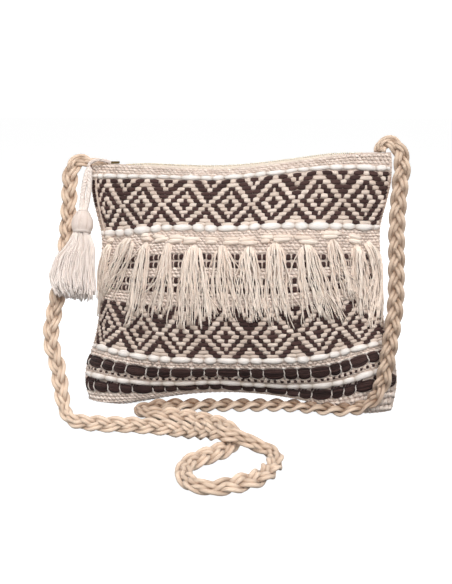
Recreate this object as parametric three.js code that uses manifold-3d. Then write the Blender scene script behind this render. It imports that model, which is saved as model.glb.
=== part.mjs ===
// Fringe bag: a plump handwoven pouch with a tufted fringe, a tasselled zip and a braided rope strap.
// Millimetres, +Z up, the front faces -Y. The pouch stands on the floor at z = 0.
import * as THREE from 'three';
import Module from 'manifold-3d';
import { mergeVertices } from 'three/addons/utils/BufferGeometryUtils.js';

const wasm = await Module();
wasm.setup();

// Clear space between pieces that touch
const PIECE_GAP = 0.3;

// Cloth and seams
const WALL = 2.2;
const SEAM_HALF = 1.6;
const SEAM_ALLOWANCE = 6;
const SEAM_GAP = 0.25;
const RIGHT_LIFT = 12.3;
const LIFT_START = -0.25;
const LIFT_SPAN = 1.1;
const SQUEEZE = 0.07;
const FLOOR_SINK = 5;
const PANEL_COLUMNS = 22;
const COLUMN_CROWDING = 0.3;
const PANEL_LIMIT = 0.985;
const ACROSS_STEP = 0.01;
const DOWN_STEP = 0.5;

// Sections down one panel, from the hem to the middle of the underside.
// down: distance along the cloth from the hem. half: half width between the side seams.
// seam: height of the left seam. lift: share of the right corner's extra height.
// middle and belly: height and depth of the panel's middle. round: how square the plan is.
const SECTIONS = [
  { down: 0, half: 138.5, seam: 232, lift: 1, middle: 229.8, belly: 6, round: 2.4 },
  { down: 13.7, half: 139.5, seam: 218.5, lift: 1, middle: 221.2, belly: 13, round: 2.4 },
  { down: 28, half: 139, seam: 204.5, lift: 1, middle: 210.5, belly: 20.5, round: 2.4 },
  { down: 45, half: 136, seam: 188, lift: 1, middle: 197, belly: 28.5, round: 2.4 },
  { down: 69, half: 131, seam: 164.5, lift: 1, middle: 178.5, belly: 38, round: 2.4 },
  { down: 90, half: 131.5, seam: 144, lift: 1, middle: 160.5, belly: 43.5, round: 2.4 },
  { down: 130, half: 134, seam: 105.5, lift: 1, middle: 113.5, belly: 47, round: 2.4 },
  { down: 160, half: 137.5, seam: 76.5, lift: 0.95, middle: 79, belly: 44, round: 2.5 },
  { down: 186, half: 144, seam: 51.5, lift: 0.9, middle: 52.5, belly: 39, round: 2.8 },
  { down: 199, half: 149, seam: 39, lift: 0.8, middle: 42, belly: 33.5, round: 3.2 },
  { down: 212, half: 151.5, seam: 26, lift: 0.6, middle: 30, belly: 26, round: 4 },
  { down: 222, half: 151, seam: 15.5, lift: 0.4, middle: 24.5, belly: 19.5, round: 5 },
  { down: 234, half: 147, seam: 2, lift: 0.1, middle: 23.2, belly: 14.5, round: 8 },
  { down: 246, half: 144, seam: 1, lift: 0, middle: 22.2, belly: 0, round: 8 },
];
const UNDERSIDE = 246;
const TURN_UNDER = 12;
const UNDER_START = 216;
const UNDER_SPAN = 18;

// Bulky yarn rows that stand proud of the weave
const BULKY_ROWS = [
  { name: 'white_1', from: 12, to: 17.4, proud: 1.2 },
  { name: 'white_2', from: 66, to: 72.4, proud: 1.4 },
  { name: 'white_3', from: 183, to: 189.4, proud: 1.4 },
  { name: 'dark_a', from: 193, to: 204, proud: 1.3 },
  { name: 'white_4', from: 209, to: 214.6, proud: 1.2 },
  { name: 'dark_b', from: 215.4, to: 224, proud: 1.3 },
];
const RIB_FADE = 10;

// Plain cloth stations between the bulky rows
const PLAIN_STATIONS = [0, 6, 26, 38, 52, 78, 92, 110, 130, 148, 166, 229, 234, 238, 242, UNDERSIDE];
const INNER_STATIONS = [0, 13.7, 28, 45, 69, 90, 110, 130, 160, 186, 199, 212, 222, 234, UNDERSIDE];

// Zip along the mouth
const ZIP_REACH = 0.86;
const ZIP_CLEAR = 0.4;
const ZIP_LEAST_HALF = 0.9;
const ZIP_TAPER = 0.3;
const ZIP_RIDGE = 0.45;
const ZIP_CROWN = 2.2;
const ZIP_EDGE_DEPTH = 1.6;
const ZIP_TAPE_THICKNESS = 1;
const ZIP_STATIONS = 30;
const TEETH_HALF = 1.5;
const TEETH_HEIGHT = 1.1;
const TEETH_PITCH = 4.5;
const TEETH_NOTCH = 0.7;
const TEETH_START = 0.06;
const TEETH_END = 0.02;
const SLIDER_AT = -0.865;
const SLIDER_LENGTH = 8;
const SLIDER_HALF = 2.4;
const SLIDER_HEIGHT = 2;
const SLIDER_CLEAR = 0.4;
const PULL_WIRE = 0.8;
const PULL_HOOK = { x: 8, y: 2.2, z: 8.5 };
const PULL_END = 3.6;

// Fringe: a header strip and tufts, each made of three locks.
// at: place across the panel, -1 to 1. drop: length. reach: how far the end swings sideways.
// spread: half width at the end. locks: how many locks it parts into.
const HEADER_FROM = 77;
const HEADER_TO = 87;
const HEADER_SPAN = 0.95;
const HEADER_THICKNESS = 2.2;
const HEADER_STATIONS = 24;
const FRINGE_CLEAR = 0.5;
const LOCK_HALF_TOP = 3.6;
const LOCK_HALF_END = 4.2;
const LOCK_THICK_TOP = 2.3;
const LOCK_THICK_END = 1.5;
const LOCK_STATIONS = 4;
const LOCK_SIDES = 6;
const TUFTS = [
  { at: -0.92, drop: 56, reach: -4, spread: 5, locks: 2 },
  { at: -0.81, drop: 46, reach: -16, spread: 7, locks: 2 },
  { at: -0.65, drop: 70, reach: -9, spread: 10, locks: 3 },
  { at: -0.48, drop: 66, reach: -4, spread: 11, locks: 2 },
  { at: -0.29, drop: 67, reach: 0, spread: 13, locks: 3 },
  { at: -0.1, drop: 62, reach: 6, spread: 11, locks: 2 },
  { at: 0.07, drop: 64, reach: 8, spread: 9, locks: 2 },
  { at: 0.25, drop: 67, reach: 3, spread: 10, locks: 2 },
  { at: 0.47, drop: 64, reach: 12, spread: 14, locks: 3 },
  { at: 0.65, drop: 57, reach: 13, spread: 9, locks: 2 },
  { at: 0.82, drop: 68, reach: 5, spread: 8, locks: 2 },
  { at: 0.93, drop: 68, reach: 2, spread: 6, locks: 2 },
];
const LOCK_SHARE = 0.62;
const LOCK_SHORTER = 0.05;
const LOCK_ROOT = 0.4;
const LOCK_LIFT = 0.6;

// Tassel: its axis from the zip pull down to the ends of the skirt, the bulb's half widths by share of the
// way from its top to the neck, and the skirt's locks by share of the way from the neck to the ends.
const TASSEL_AXIS = [
  { name: 'pull', x: -139, y: -11, z: 228 },
  { name: 'head_top', x: -143, y: -25, z: 190 },
  { name: 'neck', x: -143, y: -32, z: 170 },
  { name: 'skirt', x: -145, y: -44.5, z: 142 },
  { name: 'ends', x: -147, y: -56, z: 116 },
];
const LOOP_CORD = 1.5;
const LOOP_SPREAD = 2.6;
const HEAD_HALF = 9.6;
const NECK_HALF = 7.4;
const HEAD_SIDES = 14;
const HEAD_PROFILE = [
  { share: -0.02, half: 4.5 },
  { share: 0.15, half: 7.7 },
  { share: 0.4, half: HEAD_HALF },
  { share: 0.6, half: 9.3 },
  { share: 0.74, half: NECK_HALF },
  { share: 1.2, half: NECK_HALF },
];
const WRAP_WIDTH = 3.4;
const WRAP_ABOVE_NECK = 3;
const WRAP_THICKNESS = 1.1;
const WRAP_CLEAR = 0.35;
const WRAP_SIDES = 18;
const SKIRT_LOCKS = 10;
const LOCK_FLATNESS = 0.6;
const SKIRT_PROFILE = [
  { share: -0.02, across: 3.7, deep: 3.7, lock: 3.2 },
  { share: 0.18, across: 7.4, deep: 4.4, lock: 4.7 },
  { share: 0.5, across: 12.8, deep: 6.3, lock: 6 },
  { share: 1, across: 17, deep: 7, lock: 5 },
];

// Strap: one braided rope from corner to corner, hanging at both sides and lying in front.
const ROPE_DIAMETER = 12;
const ROPE_SIDES = 10;
const ROPE_STEPS = 80;
const LYING = 6.35;
const STRAP_ROUTE = [
  [-139.6, 0, 232.9],
  [-147.5, -0.5, 235.2],
  [-154.5, -2, 232],
  [-158, -5, 223.5],
  [-158.6, -14, 192],
  [-159.8, -22, 161],
  [-163, -30, 131],
  [-166.5, -39, 106],
  [-169.5, -50, 74],
  [-162.5, -56, 50],
  [-157, -63, 25],
  [-152.3, -71, 12],
  [-142, -81, 6.9],
  [-116, -87, LYING],
  [-88, -86.5, LYING],
  [-60, -89, LYING],
  [-40, -94, 7],
  [-22, -107, 11.5],
  [-8, -121, 16.5],
  [5, -130.5, 18.45],
  [17, -131, 16],
  [29, -129.5, 10],
  [40, -133, 6.9],
  [46.5, -147, LYING],
  [45, -164, LYING],
  [37, -186, LYING],
  [22, -200, LYING],
  [2, -211, LYING],
  [-13, -205.5, LYING],
  [-22.5, -189, LYING],
  [-22.5, -168, LYING],
  [-12, -152, LYING],
  [1, -136, LYING],
  [7, -120, LYING],
  [7.5, -106, LYING],
  [3.5, -91, LYING],
  [-7, -76, LYING],
  [-27, -65, LYING],
  [-56, -56.5, LYING],
  [-78, -54, LYING],
  [-88, -44.5, LYING],
  [-79, -35, LYING],
  [-58, -29.5, LYING],
  [-14, -23, LYING],
  [24, -18.5, LYING],
  [46, -16.5, LYING],
  [66, -18.4, LYING],
  [86, -22.8, 6.6],
  [104, -26, 7.8],
  [118, -27.5, 11.5],
  [130, -29.5, 21],
  [137.5, -30, 40],
  [142, -28, 72],
  [146, -23, 108],
  [146, -18, 142],
  [145.3, -12, 180],
  [147, -6, 214],
  [148.5, -3, 234],
  [145.2, -1.5, 247],
  [138, -0.5, 253.6],
  [130.5, 0, 251.8],
  [128.5, 0, 249],
  [128.5, 0, 244.9],
];

// Small helpers for numbers and meshes

const mix = (from, to, share) => from + (to - from) * share;

function smooth(share) {
  const t = Math.min(1, Math.max(0, share));
  return t * t * (3 - 2 * t);
}

// Smooth curve through the rows of a table, read at one value of its key column
function readTable(table, key, column, value) {
  const last = table.length - 1;
  let row = 0;
  while (row < last - 1 && value > table[row + 1][key]) row += 1;
  const slope = (k) => {
    const before = table[Math.max(0, k - 1)];
    const after = table[Math.min(last, k + 1)];
    return (after[column] - before[column]) / (after[key] - before[key]);
  };
  const start = table[row];
  const end = table[row + 1];
  const span = end[key] - start[key];
  const t = (value - start[key]) / span;
  const t2 = t * t;
  const t3 = t2 * t;
  const held = (2 * t3 - 3 * t2 + 1) * start[column] + (3 * t2 - 2 * t3) * end[column];
  const bent = (t3 - 2 * t2 + t) * slope(row) + (t3 - t2) * slope(row + 1);
  return held + bent * span;
}

function geometryFrom(points, triangles) {
  const geometry = new THREE.BufferGeometry();
  const numbers = points.flatMap((p) => [p.x, p.y, p.z]);
  geometry.setAttribute('position', new THREE.Float32BufferAttribute(numbers, 3));
  geometry.setIndex(triangles.flat());
  return geometry;
}

function solidFrom(geometry) {
  const bare = geometry.clone();
  bare.deleteAttribute('normal');
  bare.deleteAttribute('uv');
  const merged = mergeVertices(bare, 1e-4);
  return new wasm.Manifold(new wasm.Mesh({
    numProp: 3,
    vertProperties: new Float32Array(merged.attributes.position.array),
    triVerts: new Uint32Array(merged.index.array),
  }));
}

function fuse(geometries) {
  const [first, ...rest] = geometries.map(solidFrom);
  const mesh = rest.reduce((whole, piece) => whole.add(piece), first).getMesh();
  const geometry = new THREE.BufferGeometry();
  geometry.setAttribute('position', new THREE.Float32BufferAttribute(mesh.vertProperties, 3));
  geometry.setIndex([...mesh.triVerts]);
  return geometry;
}

// Skin over rings of equal length, with both ends closed by fans
function loft(rings) {
  const sides = rings[0].length;
  const points = rings.flat();
  const triangles = [];
  for (let ring = 0; ring < rings.length - 1; ring += 1) {
    for (let side = 0; side < sides; side += 1) {
      const next = (side + 1) % sides;
      const a = ring * sides + side;
      const b = ring * sides + next;
      triangles.push([a, b, b + sides], [a, b + sides, a + sides]);
    }
  }
  const cap = (ring, flip) => {
    const centre = rings[ring].reduce((sum, p) => sum.add(p), new THREE.Vector3()).divideScalar(sides);
    points.push(centre);
    const middle = points.length - 1;
    for (let side = 0; side < sides; side += 1) {
      const a = ring * sides + side;
      const b = ring * sides + (side + 1) % sides;
      triangles.push(flip ? [middle, b, a] : [middle, a, b]);
    }
  };
  cap(0, true);
  cap(rings.length - 1, false);
  return geometryFrom(points, triangles);
}

// The cloth's surface: across runs -1 to 1, down from the hem, face -1 at the front and 1 at the back

const column = (name, down) => readTable(SECTIONS, 'down', name, down);

const edgeAt = (down) => SEAM_HALF * Math.min(1, (UNDERSIDE - down) / TURN_UNDER);

const underAt = (down) => smooth((down - UNDER_START) / UNDER_SPAN);

const swellAt = (across, down) => 1 - Math.abs(across) ** column('round', down);

const spreadAt = (across) => across * (1 + SQUEEZE - SQUEEZE * across * across);

const liftAt = (across) => RIGHT_LIFT * smooth((across - LIFT_START) / LIFT_SPAN);

function heightAt(across, down) {
  const lift = column('lift', down);
  const seam = column('seam', down);
  const dip = column('middle', down) - seam - lift * liftAt(0);
  const bow = (1 - across * across) ** 2;
  const raised = seam + lift * liftAt(across) + dip * bow;
  return Math.max(0, raised - FLOOR_SINK * underAt(down));
}

function outerPoint(across, down, face) {
  const edge = edgeAt(down);
  const x = column('half', down) * spreadAt(across);
  const depth = mix(edge, Math.max(edge, column('belly', down)), swellAt(across, down));
  return new THREE.Vector3(x, face * depth, heightAt(across, down));
}

const clampToPanel = (across) => Math.min(PANEL_LIMIT, Math.max(-PANEL_LIMIT, across));

function outwardAt(across, down, face) {
  const here = clampToPanel(across);
  const along = outerPoint(here + ACROSS_STEP, down, face).sub(outerPoint(here - ACROSS_STEP, down, face));
  const low = Math.min(down + DOWN_STEP, UNDERSIDE - 2 * DOWN_STEP);
  const high = Math.max(down - DOWN_STEP, 0);
  const fall = outerPoint(here, low, face).sub(outerPoint(here, high, face));
  const outward = face < 0 ? fall.cross(along) : along.cross(fall);
  return outward.normalize();
}

function onCloth(across, down, face, proud) {
  return outerPoint(across, down, face).addScaledVector(outwardAt(across, down, face), proud);
}

function ribAt(across, down) {
  const row = BULKY_ROWS.find((rib) => down > rib.from && down < rib.to);
  if (!row) return 0;
  const share = (down - row.from) / (row.to - row.from);
  return row.proud * Math.sin(Math.PI * share) * (1 - Math.abs(across) ** RIB_FADE);
}

function innerPoint(across, down, face) {
  const outerHalf = column('half', down);
  const half = outerHalf - SEAM_ALLOWANCE;
  const hollow = Math.max(0, column('belly', down) - WALL);
  const depth = hollow * swellAt(across, down) + SEAM_GAP * edgeAt(down);
  const z = heightAt(across * half / outerHalf, down) + WALL * underAt(down);
  return new THREE.Vector3(half * spreadAt(across), face * depth, z);
}

// Pouch: the folded cloth as a hollow shell with a slot for a mouth

function makePouch() {
  const stations = [...PLAIN_STATIONS];
  for (const rib of BULKY_ROWS) {
    stations.push(rib.from, mix(rib.from, rib.to, 0.5), rib.to);
  }
  stations.sort((a, b) => a - b);
  const acrossList = [];
  for (let k = 0; k <= PANEL_COLUMNS; k += 1) {
    const t = 2 * k / PANEL_COLUMNS - 1;
    acrossList.push(t + COLUMN_CROWDING * (t - t ** 3));
  }
  const loop = [
    ...acrossList.map((across) => ({ across, face: -1 })),
    ...[...acrossList].reverse().map((across) => ({ across, face: 1 })),
  ];
  const outer = stations.map((down) => loop.map(({ across, face }) => (
    onCloth(across, down, face, ribAt(across, down)))));
  outer[outer.length - 1] = loop.map(({ across, face }) => outerPoint(across, UNDERSIDE, face));
  const inner = INNER_STATIONS.map((down) => loop.map(({ across, face }) => (
    innerPoint(across, down, face))));
  const points = [...outer.flat(), ...inner.flat()];
  const width = loop.length;
  const innerStart = outer.length * width;
  const triangles = [];
  const skin = (start, rows, flip) => {
    for (let row = 0; row < rows - 1; row += 1) {
      for (let k = 0; k < width; k += 1) {
        const a = start + row * width + k;
        const b = start + row * width + (k + 1) % width;
        const faces = [[a, a + width, b + width], [a, b + width, b]];
        triangles.push(...(flip ? faces.map(([p, q, r]) => [p, r, q]) : faces));
      }
    }
  };
  skin(0, outer.length, false);
  skin(innerStart, inner.length, true);
  for (let k = 0; k < width; k += 1) {
    const next = (k + 1) % width;
    triangles.push([k, next, innerStart + next], [k, innerStart + next, innerStart + k]);
  }
  return dropFlat(geometryFrom(points, triangles));
}

// Merges shared corners and leaves out triangles that have closed up to a line
function dropFlat(geometry) {
  const merged = mergeVertices(geometry, 1e-3);
  const index = merged.index.array;
  const kept = [];
  for (let k = 0; k < index.length; k += 3) {
    const [a, b, c] = [index[k], index[k + 1], index[k + 2]];
    if (a !== b && b !== c && c !== a) kept.push(a, b, c);
  }
  merged.setIndex(kept);
  return merged;
}

// Zip: a crowned tape in the mouth, a low row of teeth on it and a slider at the left end

function mouthAt(across) {
  const inside = innerPoint(across, 1, 1);
  const reach = Math.max(ZIP_LEAST_HALF, inside.y - ZIP_CLEAR);
  return { x: inside.x, half: reach, z: inside.z };
}

function tapeTop(across) {
  const mouth = mouthAt(across);
  return mouth.z + ZIP_CROWN * smooth((ZIP_REACH - Math.abs(across)) / ZIP_TAPER);
}

function makeZipTape() {
  const rings = [];
  for (let k = 0; k <= ZIP_STATIONS; k += 1) {
    const across = ZIP_REACH * (2 * k / ZIP_STATIONS - 1);
    const mouth = mouthAt(across);
    const top = tapeTop(across);
    const edge = mouth.z - ZIP_EDGE_DEPTH;
    const section = [
      [-mouth.half, edge],
      [mouth.half, edge],
      [mouth.half, edge + ZIP_TAPE_THICKNESS],
      [mouth.half * ZIP_RIDGE, top],
      [-mouth.half * ZIP_RIDGE, top],
      [-mouth.half, edge + ZIP_TAPE_THICKNESS],
    ];
    rings.push(section.map(([y, z]) => new THREE.Vector3(mouth.x, y, z)));
  }
  return loft(rings);
}

function makeZipTeeth() {
  const start = SLIDER_AT + TEETH_START;
  const length = 2 * mouthAt(ZIP_REACH).x;
  const count = Math.round(length / TEETH_PITCH);
  const rings = [];
  for (let k = 0; k <= count; k += 1) {
    const across = mix(start, ZIP_REACH - TEETH_END, k / count);
    const mouth = mouthAt(across);
    const half = Math.min(TEETH_HALF, mouth.half * ZIP_RIDGE) * (k % 2 ? 1 : TEETH_NOTCH);
    const low = tapeTop(across) + PIECE_GAP;
    const high = low + TEETH_HEIGHT;
    const section = [[-half, low], [half, low], [half, high], [-half, high]];
    rings.push(section.map(([y, z]) => new THREE.Vector3(mouth.x, y, z)));
  }
  return loft(rings);
}

function makeZipSlider() {
  const mouth = mouthAt(SLIDER_AT);
  const low = heightAt(SLIDER_AT, 0) + SLIDER_CLEAR;
  const body = new THREE.BoxGeometry(SLIDER_LENGTH, 2 * SLIDER_HALF, SLIDER_HEIGHT);
  body.translate(mouth.x, 0, low + SLIDER_HEIGHT / 2);
  const pull = TASSEL_AXIS[0];
  const wireZ = low + SLIDER_HEIGHT / 2;
  const path = new THREE.CatmullRomCurve3([
    new THREE.Vector3(mouth.x - SLIDER_LENGTH / 2 + PULL_WIRE, PULL_WIRE - SLIDER_HALF, wireZ),
    new THREE.Vector3(pull.x + PULL_HOOK.x, pull.y + PULL_HOOK.y, pull.z + PULL_HOOK.z),
    new THREE.Vector3(pull.x, pull.y, pull.z + PULL_END),
  ]);
  return fuse([body, tubeAlong(path, PULL_WIRE, 8, 6)]);
}

function circleShape(radius, sides) {
  const shape = new THREE.Shape();
  for (let k = 0; k < sides; k += 1) {
    const turn = 2 * Math.PI * k / sides;
    const x = radius * Math.cos(turn);
    const y = radius * Math.sin(turn);
    if (k === 0) shape.moveTo(x, y);
    else shape.lineTo(x, y);
  }
  shape.closePath();
  return shape;
}

function tubeAlong(path, radius, sides, steps) {
  return new THREE.ExtrudeGeometry(circleShape(radius, sides), {
    steps,
    bevelEnabled: false,
    extrudePath: path,
  });
}

// Fringe: locks of strands fused to the header strip

function ovalRing(centre, side, outward, half, thick, sides) {
  const ring = [];
  for (let k = 0; k < sides; k += 1) {
    const turn = 2 * Math.PI * k / sides;
    const point = centre.clone().addScaledVector(side, half * Math.cos(turn));
    ring.push(point.addScaledVector(outward, thick * Math.sin(turn)));
  }
  return ring;
}

function makeHeader() {
  const rings = [];
  for (let k = 0; k <= HEADER_STATIONS; k += 1) {
    const across = HEADER_SPAN * (2 * k / HEADER_STATIONS - 1);
    rings.push([
      onCloth(across, HEADER_TO, -1, FRINGE_CLEAR),
      onCloth(across, HEADER_FROM, -1, FRINGE_CLEAR),
      onCloth(across, HEADER_FROM, -1, FRINGE_CLEAR + HEADER_THICKNESS),
      onCloth(across, HEADER_TO, -1, FRINGE_CLEAR + HEADER_THICKNESS),
    ]);
  }
  return loft(rings);
}

function makeLock(tuft, number) {
  const place = tuft.locks > 1 ? 2 * number / (tuft.locks - 1) - 1 : 0;
  const length = tuft.drop * (1 - LOCK_SHORTER * (number % 2));
  const rings = [];
  const half = column('half', HEADER_TO);
  const top = mix(HEADER_FROM, HEADER_TO, LOCK_ROOT);
  for (let k = 0; k <= LOCK_STATIONS; k += 1) {
    const t = k / LOCK_STATIONS;
    const down = top + t * length;
    const sway = tuft.reach * t * t + LOCK_SHARE * place * mix(LOCK_HALF_TOP, tuft.spread, t);
    const across = clampToPanel(tuft.at + sway / half);
    const width = mix(LOCK_HALF_TOP, LOCK_HALF_END, t);
    const thick = mix(LOCK_THICK_TOP, LOCK_THICK_END, t);
    const outward = outwardAt(across, down, -1);
    const centre = onCloth(across, down, -1, FRINGE_CLEAR + thick + LOCK_LIFT);
    const side = new THREE.Vector3(1, 0, 0).addScaledVector(outward, -outward.x).normalize();
    rings.push(ovalRing(centre, side, outward, width, thick, LOCK_SIDES));
  }
  return loft(rings);
}

function makeFringe() {
  const locks = TUFTS.flatMap((tuft) => (
    Array.from({ length: tuft.locks }, (_, number) => makeLock(tuft, number))));
  return fuse([makeHeader(), ...locks]);
}

// Tassel: loop, bulb and skirt in one, with a wrap round its neck

const axisPoint = (name) => {
  const { x, y, z } = TASSEL_AXIS.find((row) => row.name === name);
  return new THREE.Vector3(x, y, z);
};

const TASSEL_ACROSS = new THREE.Vector3(1, 0, 0);

function tasselFrame(along) {
  const side = TASSEL_ACROSS.clone().addScaledVector(along, -TASSEL_ACROSS.dot(along)).normalize();
  const front = new THREE.Vector3().crossVectors(side, along).normalize();
  return { side, front };
}

function makeHead() {
  const top = axisPoint('head_top');
  const neck = axisPoint('neck');
  const along = neck.clone().sub(top).normalize();
  const { side, front } = tasselFrame(along);
  const rings = HEAD_PROFILE.map(({ share, half }) => (
    ovalRing(top.clone().lerp(neck, share), front, side, half, half, HEAD_SIDES)));
  return loft(rings);
}

function makeTassel() {
  const pull = axisPoint('pull');
  const top = axisPoint('head_top');
  const root = top.clone().setZ(top.z - 2 * LOOP_CORD);
  const spread = new THREE.Vector3(LOOP_SPREAD, 0, 0);
  const loop = tubeAlong(new THREE.CatmullRomCurve3([
    root.clone().sub(spread),
    pull.clone().sub(spread),
    pull.clone().setZ(pull.z + LOOP_CORD),
    pull.clone().add(spread),
    root.clone().add(spread),
  ]), LOOP_CORD, 8, 20);
  const locks = [];
  const neck = axisPoint('neck');
  const middle = axisPoint('skirt');
  const ends = axisPoint('ends');
  const { side, front } = tasselFrame(ends.clone().sub(neck).normalize());
  for (let k = 0; k < SKIRT_LOCKS; k += 1) {
    const turn = 2 * Math.PI * k / SKIRT_LOCKS;
    const outTo = (across, deep) => side.clone().multiplyScalar(across * Math.cos(turn))
      .addScaledVector(front, deep * Math.sin(turn));
    locks.push(loft(SKIRT_PROFILE.map(({ share, across, deep, lock }) => {
      const above = share < 0.5;
      const spine = above ? neck.clone().lerp(middle, 2 * share) : middle.clone().lerp(ends, 2 * share - 1);
      return ovalRing(spine.add(outTo(across, deep)), front, side, lock * LOCK_FLATNESS, lock, 8);
    })));
  }
  return fuse([loop, makeHead(), ...locks]);
}

function makeTasselWrap() {
  const top = axisPoint('head_top');
  const neck = axisPoint('neck');
  const along = neck.clone().sub(top).normalize();
  const { side, front } = tasselFrame(along);
  const middle = neck.clone().addScaledVector(along, -WRAP_ABOVE_NECK);
  const inside = NECK_HALF + WRAP_CLEAR;
  const section = [
    [inside + WRAP_THICKNESS, -WRAP_WIDTH / 3],
    [inside + WRAP_THICKNESS, WRAP_WIDTH / 3],
    [inside, WRAP_WIDTH / 2],
    [inside, -WRAP_WIDTH / 2],
  ];
  const profile = [...section, section[0]].map(([radius, height]) => new THREE.Vector2(radius, height));
  const ring = new THREE.LatheGeometry(profile, WRAP_SIDES);
  ring.applyMatrix4(new THREE.Matrix4().makeBasis(side, along, front));
  ring.translate(middle.x, middle.y, middle.z);
  return ring;
}

// Strap: a plain tube along the rope's route

function makeStrap() {
  const points = STRAP_ROUTE.map(([x, y, z]) => new THREE.Vector3(x, y, z));
  const path = new THREE.CatmullRomCurve3(points, false, 'centripetal');
  return tubeAlong(path, ROPE_DIAMETER / 2, ROPE_SIDES, ROPE_STEPS);
}

// The assembly, with its origin on the floor under the middle of the bag

const bag = new THREE.Group();

function addPiece(name, geometry, color, roughness, metalness) {
  const mesh = new THREE.Mesh(geometry, new THREE.MeshStandardMaterial({ color, roughness, metalness }));
  mesh.name = name;
  bag.add(mesh);
}

addPiece('pouch', makePouch(), 0xcdb9a3, 0.95, 0);
addPiece('zip_tape', makeZipTape(), 0xe6d6b4, 0.9, 0);
addPiece('zip_teeth', makeZipTeeth(), 0xd9c9a6, 0.6, 0);
addPiece('zip_slider', makeZipSlider(), 0x6b5638, 0.4, 1);
addPiece('fringe', makeFringe(), 0xeadccb, 0.95, 0);
addPiece('tassel', makeTassel(), 0xf1e9e2, 0.95, 0);
addPiece('tassel_wrap', makeTasselWrap(), 0xf3ede8, 0.95, 0);

const box = new THREE.Box3().setFromObject(bag);
const middle = box.getCenter(new THREE.Vector3());
addPiece('strap', makeStrap(), 0xe6d0b1, 0.9, 0);
bag.position.set(-middle.x, -middle.y, -box.min.z);

export default bag;
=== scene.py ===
import math

import bpy
import numpy as np
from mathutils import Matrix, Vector


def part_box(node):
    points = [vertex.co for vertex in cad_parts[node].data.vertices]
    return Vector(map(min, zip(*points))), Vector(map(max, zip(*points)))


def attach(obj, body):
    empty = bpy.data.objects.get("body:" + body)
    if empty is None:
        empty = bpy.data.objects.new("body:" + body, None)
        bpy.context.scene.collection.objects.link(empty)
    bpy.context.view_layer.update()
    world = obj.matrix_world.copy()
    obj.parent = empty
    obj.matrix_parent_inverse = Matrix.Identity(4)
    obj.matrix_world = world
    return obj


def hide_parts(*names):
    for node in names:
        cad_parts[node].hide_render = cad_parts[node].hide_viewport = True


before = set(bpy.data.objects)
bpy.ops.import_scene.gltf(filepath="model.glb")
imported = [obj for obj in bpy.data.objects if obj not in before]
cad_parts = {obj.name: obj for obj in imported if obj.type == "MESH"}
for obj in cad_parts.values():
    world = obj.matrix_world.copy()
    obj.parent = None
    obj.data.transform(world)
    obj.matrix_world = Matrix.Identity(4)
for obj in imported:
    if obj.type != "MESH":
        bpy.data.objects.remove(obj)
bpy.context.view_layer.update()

MM = 0.001
TURN = 2 * math.pi
FLOOR_CLEAR = 0.00015
rng = np.random.default_rng(4217)

# The bag's own frame is in millimetres, centred on the pouch
pouch_low, pouch_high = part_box("pouch")
SHIFT = np.array([(pouch_low.x + pouch_high.x) / 2, (pouch_low.y + pouch_high.y) / 2, 0.0])

# Camera at the photograph's viewing angle
IMAGE_HEIGHT = 584
FOCAL_PIXELS = 914
SENSOR = 36.0
CAMERA_PLACE = (88.849, -845.344, 294.0)
CAMERA_YAW = -6.790
CAMERA_PITCH = -12.095

# Cloth and seams, as in the solids
SEAM_HALF = 1.6
SEAM_ALLOWANCE = 6
SEAM_GAP = 0.25
WALL = 2.2
RIGHT_LIFT = 12.3
LIFT_START = -0.25
LIFT_SPAN = 1.1
SQUEEZE = 0.07
FLOOR_SINK = 5
UNDERSIDE = 246
TURN_UNDER = 12
UNDER_START = 216
UNDER_SPAN = 18
SIDE_LIMIT = 0.985
EDGE_LIMIT = 0.992
ACROSS_STEP = 0.01
DOWN_STEP = 0.5
FACES = (-1.0, 1.0)
SECTION_COLUMNS = ("down", "half", "seam", "lift", "middle", "belly", "round")
SECTIONS = np.array([
    (0, 138.5, 232, 1, 229.8, 6, 2.4),
    (13.7, 139.5, 218.5, 1, 221.2, 13, 2.4),
    (28, 139, 204.5, 1, 210.5, 20.5, 2.4),
    (45, 136, 188, 1, 197, 28.5, 2.4),
    (69, 131, 164.5, 1, 178.5, 38, 2.4),
    (90, 131.5, 144, 1, 160.5, 43.5, 2.4),
    (130, 134, 105.5, 1, 113.5, 47, 2.4),
    (160, 137.5, 76.5, 0.95, 79, 44, 2.5),
    (186, 144, 51.5, 0.9, 52.5, 39, 2.8),
    (199, 149, 39, 0.8, 42, 33.5, 3.2),
    (212, 151.5, 26, 0.6, 30, 26, 4),
    (222, 151, 15.5, 0.4, 24.5, 19.5, 5),
    (234, 147, 2, 0.1, 23.2, 14.5, 8),
    (246, 144, 1, 0, 22.2, 0, 8),
], float)

# Chart of the weave: the middles of the seven diamonds, from left to right, at some heights
CHART = np.array([
    (15, -0.86, -0.57, -0.285, -0.02, 0.237, 0.503, 0.815),
    (43, -0.895, -0.62, -0.32, -0.035, 0.235, 0.52, 0.83),
    (62, -0.92, -0.63, -0.34, -0.04, 0.23, 0.545, 0.875),
    (160, -0.905, -0.615, -0.335, -0.045, 0.245, 0.535, 0.81),
    (198, -0.93, -0.60, -0.317, -0.035, 0.23, 0.51, 0.75),
    (220, -0.875, -0.565, -0.285, -0.02, 0.24, 0.515, 0.775),
])
DIAMONDS = 7
CHART_REPEAT = 0.29
LEFT_REPEAT = 0.17
COLUMNS = 12
TIE_COLUMN = 2.7
TIE_LIMIT = 0.97

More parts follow.
